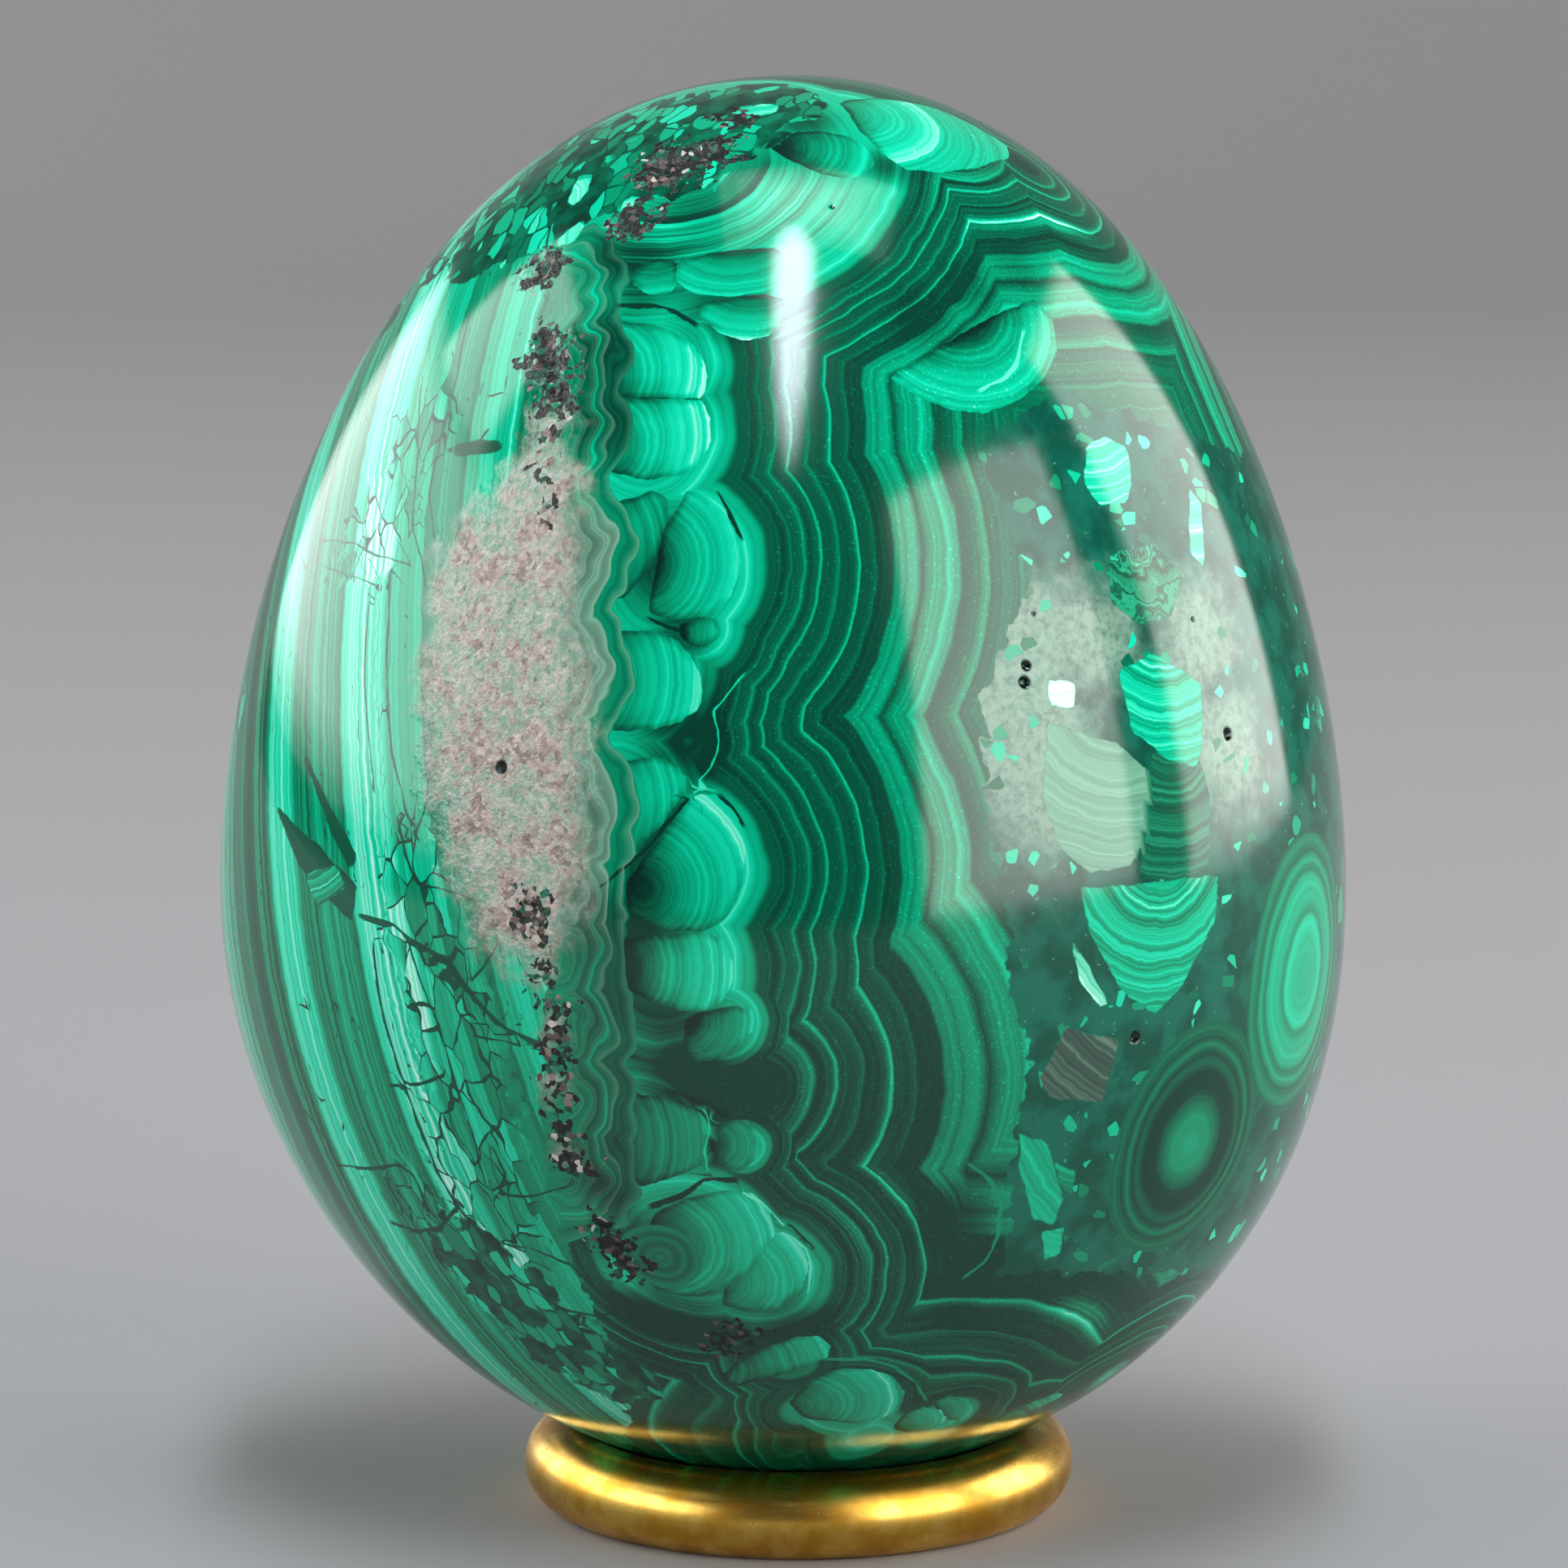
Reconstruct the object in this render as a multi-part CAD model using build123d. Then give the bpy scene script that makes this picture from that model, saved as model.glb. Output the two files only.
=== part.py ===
from build123d import *

import math
import os

# A polished malachite egg that stands, blunt end down, in a plain brass ring.
# Sizes are in millimetres. The origin is on the table, on the axis of the ring, with +Z up.

# Ring stand: a round bar closed into a ring, with a narrow flat ground on its underside
RING_OUTER_DIAMETER = 30.0
RING_BAR_DIAMETER = 4.65
RING_FOOT_WIDTH = 1.6

# Egg: its girth, the heights of its two ends from the girth, and the fullness of its upper outline
EGG_GIRTH_DIAMETER = 60.9
EGG_BELOW_GIRTH = 32.0
EGG_ABOVE_GIRTH = 43.95
# The reaches say how far the outline keeps to its upright tangent at the girth and its level one at the crown
EGG_FLANK_REACH = 16.5
EGG_CROWN_REACH = 21.1

# Room between the stone and the bar, all round the line where the egg sits
SEAT_CLEARANCE = 0.1

# Steps that halve the span of angles in which the seat line is found
SEAT_SEARCH_STEPS = 60

EGG_GIRTH_RADIUS = EGG_GIRTH_DIAMETER / 2
BAR_RADIUS = RING_BAR_DIAMETER / 2
BAR_CENTRE_RADIUS = RING_OUTER_DIAMETER / 2 - BAR_RADIUS
# The flat under the ring is a chord of the bar's section, so it sets how high the bar's centre stands
BAR_CENTRE_HEIGHT = math.sqrt(BAR_RADIUS**2 - (RING_FOOT_WIDTH / 2) ** 2)


def below_girth(angle):
    """Point and outward normal of the lower outline, as (radius, drop) pairs, at an angle from the blunt tip."""
    point = (EGG_GIRTH_RADIUS * math.sin(angle), EGG_BELOW_GIRTH * math.cos(angle))
    slope = (math.sin(angle) / EGG_GIRTH_RADIUS, math.cos(angle) / EGG_BELOW_GIRTH)
    length = math.hypot(*slope)
    return point, (slope[0] / length, slope[1] / length)


def girth_height():
    """Height of the girth above the table with the egg lowered on to the bar, less the clearance."""
    reach = BAR_RADIUS + SEAT_CLEARANCE
    low, high = 0.0, math.pi / 2
    for _ in range(SEAT_SEARCH_STEPS):
        angle = (low + high) / 2
        point, normal = below_girth(angle)
        if point[0] + reach * normal[0] < BAR_CENTRE_RADIUS:
            low = angle
        else:
            high = angle
    return BAR_CENTRE_HEIGHT + point[1] + reach * normal[1]


def make_ring_stand():
    """Round bar section turned about the axis, less the slice under the table line."""
    section = Pos(BAR_CENTRE_RADIUS, BAR_CENTRE_HEIGHT) * Circle(BAR_RADIUS)
    under_table = Pos(BAR_CENTRE_RADIUS, 0) * Rectangle(
        RING_BAR_DIAMETER, RING_BAR_DIAMETER, align=(Align.CENTER, Align.MAX)
    )
    return revolve(Plane.XZ * (section - under_table), Axis.Z)


def make_malachite_egg():
    """Half outline of the egg, elliptic below the girth and fuller above it, turned about the axis."""
    crown = (0, EGG_ABOVE_GIRTH)
    blunt_tip = (0, -EGG_BELOW_GIRTH)
    upper = Bezier(
        (EGG_GIRTH_RADIUS, 0),
        (EGG_GIRTH_RADIUS, EGG_FLANK_REACH),
        (EGG_CROWN_REACH, EGG_ABOVE_GIRTH),
        crown,
    )
    lower = EllipticalCenterArc((0, 0), EGG_GIRTH_RADIUS, EGG_BELOW_GIRTH, arc_size=-90)
    half_outline = make_face([upper, Line(crown, blunt_tip), lower])
    return revolve(Plane.XZ * Pos(0, girth_height()) * half_outline, Axis.Z)


parts = {
    "ring_stand": make_ring_stand(),
    "malachite_egg": make_malachite_egg(),
}

os.makedirs("parts", exist_ok=True)
for node, shape in parts.items():
    export_step(shape, f"parts/{node}.step")
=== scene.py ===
import math

from collections import namedtuple
from functools import partialmethod, reduce

import bmesh
import bpy
import numpy
from mathutils import Matrix, Vector, noise
from mathutils.bvhtree import BVHTree


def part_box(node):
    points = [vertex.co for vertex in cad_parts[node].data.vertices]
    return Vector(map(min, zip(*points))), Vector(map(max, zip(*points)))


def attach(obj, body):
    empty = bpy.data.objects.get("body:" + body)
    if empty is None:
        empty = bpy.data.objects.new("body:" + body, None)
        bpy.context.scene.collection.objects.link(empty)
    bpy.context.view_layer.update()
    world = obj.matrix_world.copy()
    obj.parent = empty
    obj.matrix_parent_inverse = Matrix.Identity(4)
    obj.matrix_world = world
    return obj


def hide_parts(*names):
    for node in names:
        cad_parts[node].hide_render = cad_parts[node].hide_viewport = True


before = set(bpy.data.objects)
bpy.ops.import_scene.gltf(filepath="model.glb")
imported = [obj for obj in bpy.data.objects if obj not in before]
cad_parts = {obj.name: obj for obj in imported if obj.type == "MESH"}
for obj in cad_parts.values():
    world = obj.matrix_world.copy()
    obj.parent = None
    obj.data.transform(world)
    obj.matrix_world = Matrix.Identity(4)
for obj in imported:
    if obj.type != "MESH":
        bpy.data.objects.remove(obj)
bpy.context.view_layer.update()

# A polished malachite egg in a plain brass ring. Lengths are metres, and the stone's pattern is laid out in
# millimetres, as seen in the picture or by azimuth and height.

MM = 0.001

# Picture: a long lens a little above the middle of the egg, with the ring just right of the centre line
VIEW_DISTANCE = 0.45
VIEW_ELEVATION = math.radians(9.573)
VIEW_TARGET = Vector((-0.0008, 0.0, 0.03964))
VIEW_WIDTH = 0.0848
SENSOR_WIDTH = 36.0

# Egg outline, as the solid has it
EGG_LOW, EGG_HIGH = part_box("malachite_egg")
EGG_GIRTH_RADIUS = (EGG_HIGH.x - EGG_LOW.x) / 2
EGG_BELOW_GIRTH = 0.032
EGG_GIRTH_HEIGHT = EGG_LOW.z + EGG_BELOW_GIRTH
EGG_ABOVE_GIRTH = EGG_HIGH.z - EGG_GIRTH_HEIGHT
EGG_FLANK_REACH = 0.0165
EGG_CROWN_REACH = 0.0211
EGG_GRID_CUTS = 119
# Lean of the hand-cut stone: to the left up to one height, and partly back above another
LEAN_LEFT = -0.00085
LEAN_LEFT_HEIGHTS = (0.005, 0.035)
LEAN_BACK = 0.00035
LEAN_BACK_HEIGHTS = (0.045, 0.078)
# The cube's six sides on the bake sheet, with a margin round each
BAKE_COLUMNS = 3
BAKE_ROWS = 2
BAKE_MARGIN = 0.004

# Ring, as the solid has it
RING_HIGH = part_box("ring_stand")[1]
RING_BAR_RADIUS = 0.00465 / 2
RING_BAR_CENTRE = RING_HIGH.x - RING_BAR_RADIUS
RING_BAR_HEIGHT = RING_HIGH.z - RING_BAR_RADIUS
RING_BAR_SIDES = 48
RING_STEPS = 192


def linear(red, green, blue):
    """Colour of the shaders for a screen colour given from 0 to 255."""
    shares = [channel / 255 for channel in (red, green, blue)]
    return [s / 12.92 if s <= 0.04045 else ((s + 0.055) / 1.055) ** 2.4 for s in shares] + [1.0]


def smooth(value, low, high):
    """Smooth step from 0 at low to 1 at high."""
    share = min(1.0, max(0.0, (value - low) / (high - low)))
    return share * share * (3 - 2 * share)


class Nodes:
    """Adds the nodes of one material, in the order in which they are worked out."""

    def __init__(self, material):
        material.use_nodes = True
        self.tree = material.node_tree
        self.tree.nodes.clear()

    def add(self, kind, inputs=(), **settings):
        node = self.tree.nodes.new(kind)
        for name, value in settings.items():
            setattr(node, name, value)
        for key, value in dict(inputs).items():
            if isinstance(value, bpy.types.NodeSocket):
                self.tree.links.new(value, node.inputs[key])
            else:
                node.inputs[key].default_value = value
        return node

    def math(self, operation, *values):
        return self.add("ShaderNodeMath", enumerate(values), operation=operation).outputs[0]

    plus = partialmethod(math, "ADD")
    minus = partialmethod(math, "SUBTRACT")
    times = partialmethod(math, "MULTIPLY")
    times_plus = partialmethod(math, "MULTIPLY_ADD")
    larger = partialmethod(math, "MAXIMUM")
    smaller = partialmethod(math, "MINIMUM")
    below = partialmethod(math, "LESS_THAN")
    above = partialmethod(math, "GREATER_THAN")

    def outside(self, mask):
        return self.minus(1.0, mask)

    def vector(self, operation, *values, **inputs):
        pairs = list(enumerate(values)) + list(inputs.items())
        node = self.add("ShaderNodeVectorMath", pairs, operation=operation)
        scalar = operation in ("DISTANCE", "LENGTH", "DOT_PRODUCT")
        return node.outputs["Value" if scalar else "Vector"]

    def place(self):
        """Place on the piece in millimetres."""
        return self.vector("SCALE", self.add("ShaderNodeTexCoord").outputs["Object"], Scale=1 / MM)

    def split(self, place):
        return self.add("ShaderNodeSeparateXYZ", {0: place}).outputs[:]

    def join(self, *parts):
        return self.add("ShaderNodeCombineXYZ", enumerate(parts)).outputs[0]

    def turn(self, x, y):
        """Angle about the upright axis, with nought to the front."""
        return self.math("ARCTAN2", x, self.times(y, -1.0))

    def noise(self, place, scale, detail=2.0, roughness=0.5, output=0):
        inputs = {"Vector": place, "Scale": scale, "Detail": detail, "Roughness": roughness}
        return self.add("ShaderNodeTexNoise", inputs).outputs[output]

    def uneven(self, place, scale, detail):
        """Noise on both sides of nought."""
        return self.minus(self.noise(place, scale, detail), 0.5)

    def stray(self, place, scale):
        """Uneven direction, for places that wander."""
        return self.vector("SUBTRACT", self.noise(place, scale, 1.0, output=1), (0.5, 0.5, 0.5))

    def moved(self, place, stray, reach):
        return self.vector("ADD", place, self.vector("SCALE", stray, Scale=reach))

    def layers(self, value, scale, detail=2.0, roughness=0.5):
        """Noise along one line, for bands that are uneven across and even along."""
        inputs = {"W": value, "Scale": scale, "Detail": detail, "Roughness": roughness}
        return self.add("ShaderNodeTexNoise", inputs, noise_dimensions="1D").outputs[0]

    def bands(self, value, broad, fine, detail, middle=1.0):
        """Broad bands with fine ones in them, on both sides of nought."""
        both = self.plus(self.layers(value, broad), self.layers(value, fine, detail, 0.6))
        return self.minus(both, middle)

    def cells(self, place, scale, feature, output):
        inputs = {"Vector": place, "Scale": scale}
        return self.add("ShaderNodeTexVoronoi", inputs, feature=feature).outputs[output]

    def chances(self, place, scale):
        """Three random values for each cell of a net."""
        colour = self.cells(place, scale, "F1", "Color")
        return self.add("ShaderNodeSeparateColor", {0: colour}).outputs

    def step(self, value, low, high, start=0.0, end=1.0):
        """Smooth step of a value from start at low to end at high."""
        inputs = {"Value": value, "From Min": low, "From Max": high, "To Min": start, "To Max": end}
        return self.add("ShaderNodeMapRange", inputs, interpolation_type="SMOOTHSTEP").outputs[0]

    def ramp(self, value, stops, span=1.0, interpolation="LINEAR"):
        """Colours, or greys for plain values, by where the value lies in the span."""
        if span != 1.0:
            value = self.math("DIVIDE", value, span)
        node = self.add("ShaderNodeValToRGB", {0: value})
        node.color_ramp.interpolation = interpolation
        elements = node.color_ramp.elements
        for index, (place, colour) in enumerate(stops):
            element = elements[index] if index < 2 else elements.new(place / span)
            element.position = place / span
            element.color = colour if hasattr(colour, "__len__") else (colour, colour, colour, 1.0)
        return node.outputs[0]

    def mix(self, share, first, second):
        node = self.add("ShaderNodeMix", {0: share, 6: first, 7: second}, data_type="RGBA")
        return node.outputs[2]

    def mix_value(self, share, first, second):
        return self.add("ShaderNodeMix", {0: share, 2: first, 3: second}).outputs[0]

    def mix_vector(self, share, first, second):
        return self.add("ShaderNodeMix", {0: share, 4: first, 5: second}, data_type="VECTOR").outputs[1]

    def attribute(self, name):
        return self.add("ShaderNodeAttribute", attribute_name=name).outputs["Fac"]

    def bump(self, height, strength, distance):
        inputs = {"Height": height, "Strength": strength, "Distance": distance}
        return self.add("ShaderNodeBump", inputs).outputs[0]

    def surface(self, inputs):
        """Ends the tree with the surface that these inputs make."""
        shader = self.add("ShaderNodeBsdfPrincipled", inputs)
        self.add("ShaderNodeOutputMaterial", {"Surface": shader.outputs[0]})


# Egg mesh


def outline_point(turn):
    """Radius and height of the egg's outline, at a share of the way from the blunt tip to the crown."""
    if turn < 0.5:
        angle = turn * math.pi
        return EGG_GIRTH_RADIUS * math.sin(angle), EGG_GIRTH_HEIGHT - EGG_BELOW_GIRTH * math.cos(angle)
    share = 2 * turn - 1
    rest = 1 - share
    radius = EGG_GIRTH_RADIUS * (rest**3 + 3 * share * rest**2) + 3 * EGG_CROWN_REACH * share**2 * rest
    height = 3 * EGG_FLANK_REACH * share * rest**2 + EGG_ABOVE_GIRTH * (3 * share**2 * rest + share**3)
    return radius, EGG_GIRTH_HEIGHT + height


def hand_cut_lean(height):
    """Sideways lean of the hand-cut stone, fullest on its left flank and none where it sits."""
    left = LEAN_LEFT * smooth(height, *LEAN_LEFT_HEIGHTS)
    return left + LEAN_BACK * smooth(height, *LEAN_BACK_HEIGHTS)


def egg_grid():
    """Even grid of quads over the egg, from a cube whose sides are laid out side by side for the bake."""
    mesh = bmesh.new()
    bmesh.ops.create_cube(mesh, size=2.0)
    layout = mesh.loops.layers.uv.new("OFBake")
    room = 1 - 2 * BAKE_MARGIN
    for index, face in enumerate(mesh.faces):
        row, column = divmod(index, BAKE_COLUMNS)
        corners = ((0, 0), (1, 0), (1, 1), (0, 1))
        for loop, (across, up) in zip(face.loops, corners):
            u = (column + BAKE_MARGIN + across * room) / BAKE_COLUMNS
            v = (row + BAKE_MARGIN + up * room) / BAKE_ROWS
            loop[layout].uv = (u, v)
    bmesh.ops.subdivide_edges(mesh, edges=mesh.edges[:], cuts=EGG_GRID_CUTS, use_grid_fill=True)
    for vertex in mesh.verts:
        even = Vector([math.tan(c * math.pi / 4) for c in vertex.co]).normalized()
        turn = math.acos(max(-1.0, min(1.0, -even.z))) / math.pi
        radius, height = outline_point(turn)
        level = math.hypot(even.x, even.y) or 1.0
        vertex.co = (
            radius * even.x / level + hand_cut_lean(height),
            radius * even.y / level,
            height,
        )
    bmesh.ops.recalc_face_normals(mesh, faces=mesh.faces[:])
    return mesh


def new_object(name, mesh, material):
    """Smooth-shaded object of a finished mesh."""
    data = bpy.data.meshes.new(name)
    mesh.to_mesh(data)
    mesh.free()
    data.shade_smooth()
    data.materials.append(material)
    piece = bpy.data.objects.new(name, data)
    bpy.context.scene.collection.objects.link(piece)
    return piece


def finish_piece(name, mesh, material, body, node):
    """Piece that rides on its body and stands for its solid."""
    piece = new_object(name, mesh, material)
    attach(piece, body)
    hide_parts(node)
    return piece


# Picture


def view_axes():
    """Right, up and backwards directions of the picture."""
    back = Vector((0, -math.cos(VIEW_ELEVATION), math.sin(VIEW_ELEVATION)))
    right = Vector((1, 0, 0))
    return right, back.cross(right), back


def add_camera():
    right, up, back = view_axes()
    data = bpy.data.cameras.new("camera")
    data.sensor_width = SENSOR_WIDTH
    data.lens = SENSOR_WIDTH * VIEW_DISTANCE / VIEW_WIDTH
    camera = bpy.data.objects.new("camera", data)
    turn = Matrix((right, up, back)).transposed().to_4x4()
    camera.matrix_world = Matrix.Translation(VIEW_TARGET + back * VIEW_DISTANCE) @ turn
    bpy.context.scene.collection.objects.link(camera)
    bpy.context.scene.camera = camera


class Layout:
    """Finds places on the egg's surface, in millimetres, for the parts of the pattern."""

    def __init__(self, mesh):
        self.surface = BVHTree.FromBMesh(mesh)

    def seen(self, across, up):
        """Place seen so many millimetres right of and above the centre, or the stone nearest to it."""
        right, rise, back = view_axes()
        eye = VIEW_TARGET + back * VIEW_DISTANCE
        aim = VIEW_TARGET + right * (across * MM) + rise * (up * MM)
        place = self.surface.ray_cast(eye, aim - eye)[0]
        if place is None:
            place = self.surface.find_nearest(aim)[0]
        return place / MM

    def around(self, azimuth, height):
        """Place at an azimuth, with 0 to the front and 90 to the right, and a height above the table."""
        angle = math.radians(azimuth)
        outwards = Vector((math.sin(angle), -math.cos(angle), 0))
        middle = Vector((0, 0, height * MM))
        place = self.surface.ray_cast(middle + outwards, -outwards)[0]
        return place / MM

    def beside(self, corners, pivot):
        """Point that may be off the stone, level with the middle of some corners as seen."""
        across = sum(corner[0] for corner in corners) / len(corners)
        up = sum(corner[1] for corner in corners) / len(corners)
        right, rise, _ = view_axes()
        return self.seen(across, up) + right * (pivot[0] - across) + rise * (pivot[1] - up)

    def facing(self, place):
        """Outward direction of the surface nearest to a place."""
        return self.surface.find_nearest(place * MM)[1]


# Malachite: colours by tone, from the darkest bands to the palest

TONES = (
    (0.00, linear(0, 40, 31)),
    (0.15, linear(0, 60, 45)),
    (0.32, linear(0, 94, 67)),
    (0.50, linear(0, 138, 99)),
    (0.66, linear(0, 178, 135)),
    (0.80, linear(14, 208, 167)),
    (0.92, linear(112, 230, 198)),
    (1.00, linear(205, 246, 230)),
)
GREYS = (
    (0.00, linear(26, 36, 33)),
    (0.35, linear(66, 84, 76)),
    (0.70, linear(136, 152, 138)),
    (1.00, linear(232, 236, 228)),
)
DRUSE_GRAINS = (
    (0.00, linear(98, 88, 82)),
    (0.16, linear(142, 122, 115)),
    (0.32, linear(170, 152, 144)),
    (0.46, linear(184, 177, 168)),
    (0.58, linear(146, 164, 147)),
    (0.72, linear(120, 154, 134)),
    (0.86, linear(172, 180, 167)),
)
DRUSE_PINK = linear(166, 148, 140)
DRUSE_GREEN = linear(134, 160, 141)
DRUSE_PALE = linear(204, 200, 192)
DRUSE_DARK = linear(86, 82, 76)
POCKET_GRAINS = (
    (0.00, linear(4, 8, 7)),
    (0.34, linear(14, 24, 21)),
    (0.50, linear(4, 64, 49)),
    (0.64, linear(10, 96, 74)),
    (0.70, linear(22, 30, 27)),
    (0.78, linear(86, 72, 68)),
    (0.86, linear(128, 112, 106)),
    (0.90, linear(8, 14, 12)),
    (0.97, linear(190, 186, 178)),
)
MATRIX_TEAL = linear(10, 98, 79)
MATRIX_DEEP = linear(2, 74, 58)
MATRIX_SPECK = linear(84, 166, 140)
MATRIX_PALE = linear(138, 170, 151)
# Painted shade inside the open pores
PORE_SHADE_COLOUR = linear(6, 22, 18)

# Fine grain of the stone: noise scales to the millimetre, and how far the bands wander in millimetres
DRIFT_SCALE = 0.11
DRIFT_REACH = 1.0
RIPPLE_SCALE = 0.55
RIPPLE_REACH = 0.35
RAGGED_SCALE = 0.8
GRAIN_SCALE = 2.2
PATCH_SCALE = 0.45
CRYSTAL_SCALE = 3.0
CRUMB_SCALE = 5.0
# Polish: roughness of the pale bands, the dark ones and the crystals, and the crystals' height in metres
CLEAR_POLISH = 0.08
HAZY_POLISH = 0.14
CRYSTAL_ROUGHNESS = 0.38
CRYSTAL_RELIEF = 0.0002
STONE_IOR = 1.5

# Seeds of the scallops along the seam as seen: millimetres across and up, and age when the seed starts
SEAM_SLOWNESS = 0.95
SEAM_SEEDS = [
    (-13.1, 26.0, 0.15), (-12.9, 22.4, 0.15), (-13.1, 18.9, 0.15), (-13.5, 15.9, 0.75),
    (-13.0, 12.4, 0.15), (-13.1, 9.3, 1.15), (-13.0, 6.2, 0.15), (-13.0, 2.4, 1.15),
    (-12.9, -1.6, 0.15), (-13.2, -5.8, 0.35), (-13.1, -9.2, 0.35), (-12.8, -13.0, 0.35),
    (-12.5, -17.0, 0.35), (-12.4, -20.4, 0.35),
]
# Seeds of the lobes and of the crown's bands as seen: across, up, starting age and slowness of growth
LOBE_SEEDS = [
    (-7.5, 22.4, 5.7, 1.0), (-7.5, 18.8, 5.5, 1.0), (-6.3, 11.8, 5.2, 1.0), (-4.8, 8.4, 7.6, 1.1),
    (-8.5, 5.6, 5.4, 1.05), (-5.2, 2.3, 9.2, 1.0), (-9.0, -0.8, 5.5, 1.05), (-5.8, -4.5, 5.5, 1.0),
    (-6.5, -10.0, 5.4, 1.0), (-3.2, -13.0, 5.7, 2.0), (-1.5, -16.5, 10.3, 0.66),
    (-7.5, -18.5, 6.5, 1.0), (-2.3, -19.6, 7.0, 2.0), (-5.2, -25.2, 4.9, 1.0), (-1.6, -26.6, 6.2, 1.0),
    (0.3, -31.0, 8.6, 1.0), (3.2, -33.6, 7.4, 1.0), (8.2, -34.3, 8.8, 1.0), (5.5, -35.2, 9.4, 0.45),
    (17.4, -32.0, 9.6, 0.85),
]
CROWN_SEEDS = [
    (-5.2, 33.4, -6.0, 1.4), (-8.3, 31.0, 0.5, 1.4), (0.8, 35.3, 6.5, 1.3), (3.2, 36.6, 7.6, 0.85),
    (7.6, 35.5, 8.3, 0.85), (12.9, 33.6, 10.6, 0.85),
]
# Seeds on the sides and back: azimuth, height, starting age and slowness
BACK_SEEDS = [
    (98, 53, 6.8, 1.0), (104, 50, 7.4, 1.0), (97, 58, 8.2, 1.0), (118, 40, 9.4, 0.8),
    (121, 20, 6.6, 1.0), (130, 17, 7.2, 1.0), (126, 25, 8.2, 1.0), (134, 61, 6.4, 1.0),
    (142, 63, 7.6, 1.0), (143, 31, 5.8, 1.0), (151, 27, 6.8, 1.0), (140, 37, 8.0, 1.0),
    (152, 47, 9.2, 0.8), (168, 17, 7.2, 1.0), (166, 58, 5.8, 1.1), (176, 55, 6.6, 1.1),
    (172, 63, 7.4, 1.1), (178, 39, 6.0, 1.0), (186, 35, 6.6, 1.0), (173, 32, 8.2, 1.0),
    (192, 49, 9.4, 0.9), (201, 27, 6.2, 1.0), (208, 21, 7.4, 1.0), (160, 71, 7.4, 1.0),
]

# Ages that the tones span, at which the lobes' cores are flat, and at which the seam's scallops end
GROWTH_SPAN = 30.0
LOBE_CORE_AGE = 5.2
SCALLOP_END = 4.8
# Wobble of the scallops: noise scale to the millimetre, and reach in age
SCALLOP_WOBBLE_SCALE = 0.7
SCALLOP_WOBBLE = 1.2
# Scallops of the layers at the foot: half waves to a radian, where they start, and how far they run ahead
FOOT_WAVES = 10.0
FOOT_WAVE_START = -0.09
FOOT_WAVE_RISE = 1.1
# Heights and sideways places between which those scallops come in
FOOT_WAVE_HEIGHTS = (13.0, 9.0)
FOOT_WAVE_SIDE = (-4.0, 0.0)
# Broad bands of the strata: scale along the age, swing and dip of tone, and contrast of the fine bands
STRATA_SCALE = 0.9
STRATA_SWING = 0.8
STRATA_DIP = -0.32
STRATA_CONTRAST = 0.55
# Pale dust on the outer bands: scale, ages between which it comes in, and lightness
DUST_SCALE = 7.0
DUST_AGES = (10.4, 10.8)
DUST_LIGHT = 0.16
# Broad tones by age, and how strongly the fine bands show
GROWTH_TONES = (
    (0.0, 0.42), (3.6, 0.50), (3.9, 0.40), (4.6, 0.46), (4.8, 0.40), (5.1, 0.60), (7.0, 0.65),
    (9.0, 0.68), (9.2, 0.72), (9.7, 0.66), (10.0, 0.60), (10.4, 0.20), (13.0, 0.24), (15.2, 0.22),
    (16.7, 0.14), (16.9, 0.52), (18.0, 0.56), (18.3, 0.22), (18.6, 0.46), (20.1, 0.52), (20.4, 0.24),
    (24.0, 0.34), (30.0, 0.28),
)
GROWTH_CONTRAST = (
    (0.0, 0.30), (5.0, 0.16), (8.0, 0.22), (10.0, 0.20), (10.4, 0.18), (16.6, 0.18), (16.9, 0.24),
    (22.0, 0.34), (30.0, 0.30),
)
# Thin pale lines: age, half width and strength
EARLY_LINES = (
    (2.3, 0.10, 0.10), (3.3, 0.14, 0.16), (4.0, 0.12, 0.14), (9.3, 0.12, 0.16), (10.9, 0.10, 0.12),
    (15.8, 0.10, 0.24),
)
LATE_LINES = (
    (11.5, 0.12, 0.22), (12.2, 0.14, 0.30), (13.0, 0.10, 0.46), (13.9, 0.12, 0.26), (15.0, 0.10, 0.48),
    (19.6, 0.16, 0.24), (21.6, 0.18, 0.40),
)
SCALLOP_LINES = (
    (1.9, 0.08, 0.22), (2.5, 0.10, 0.36), (3.1, 0.08, 0.40), (3.75, 0.09, 0.62), (4.7, 0.06, 0.45),
)
# Halo on the older side of a line, the strength that it has at the line's edge, and the darkest tone
LINE_HALO = 0.35
LINE_SHOULDER = 0.3
DARKEST_TONE = 0.12

# Dark hollows around the lobes, and soft shades of the bands, some of them painted shade over the lower
# half, as seen: across, up, radius and depth of tone
HOLLOWS = (
    (-6.8, 20.6, 4.4, 0.46), (-6.6, 12.0, 4.4, 0.46), (-5.4, 8.4, 2.2, 0.36), (-6.5, 5.0, 4.0, 0.46),
    (-5.2, 2.3, 2.8, 0.46), (-7.0, -1.5, 4.2, 0.46), (-7.4, -6.0, 4.2, 0.50), (-7.2, -10.5, 4.4, 0.46),
    (-5.2, -14.5, 4.4, 0.46), (-5.0, -17.5, 4.2, 0.42), (-5.2, -25.0, 4.4, 0.40),
    (-2.6, -29.4, 3.6, 0.30), (0.8, -29.4, 2.8, 0.40), (-6.4, -28.6, 3.4, 0.34),
    (-9.0, -24.4, 3.0, 0.40), (-0.8, -26.8, 3.2, 0.35), (3.6, -33.4, 3.0, 0.35),
    (0.0, -31.2, 2.6, 0.35), (-3.5, 26.0, 3.4, 0.40), (-7.5, 27.2, 3.0, 0.40), (5.6, 33.4, 2.2, 0.40),
    (1.0, 35.9, 2.6, 0.40), (12.9, 33.6, 1.8, 0.35),
)
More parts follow.
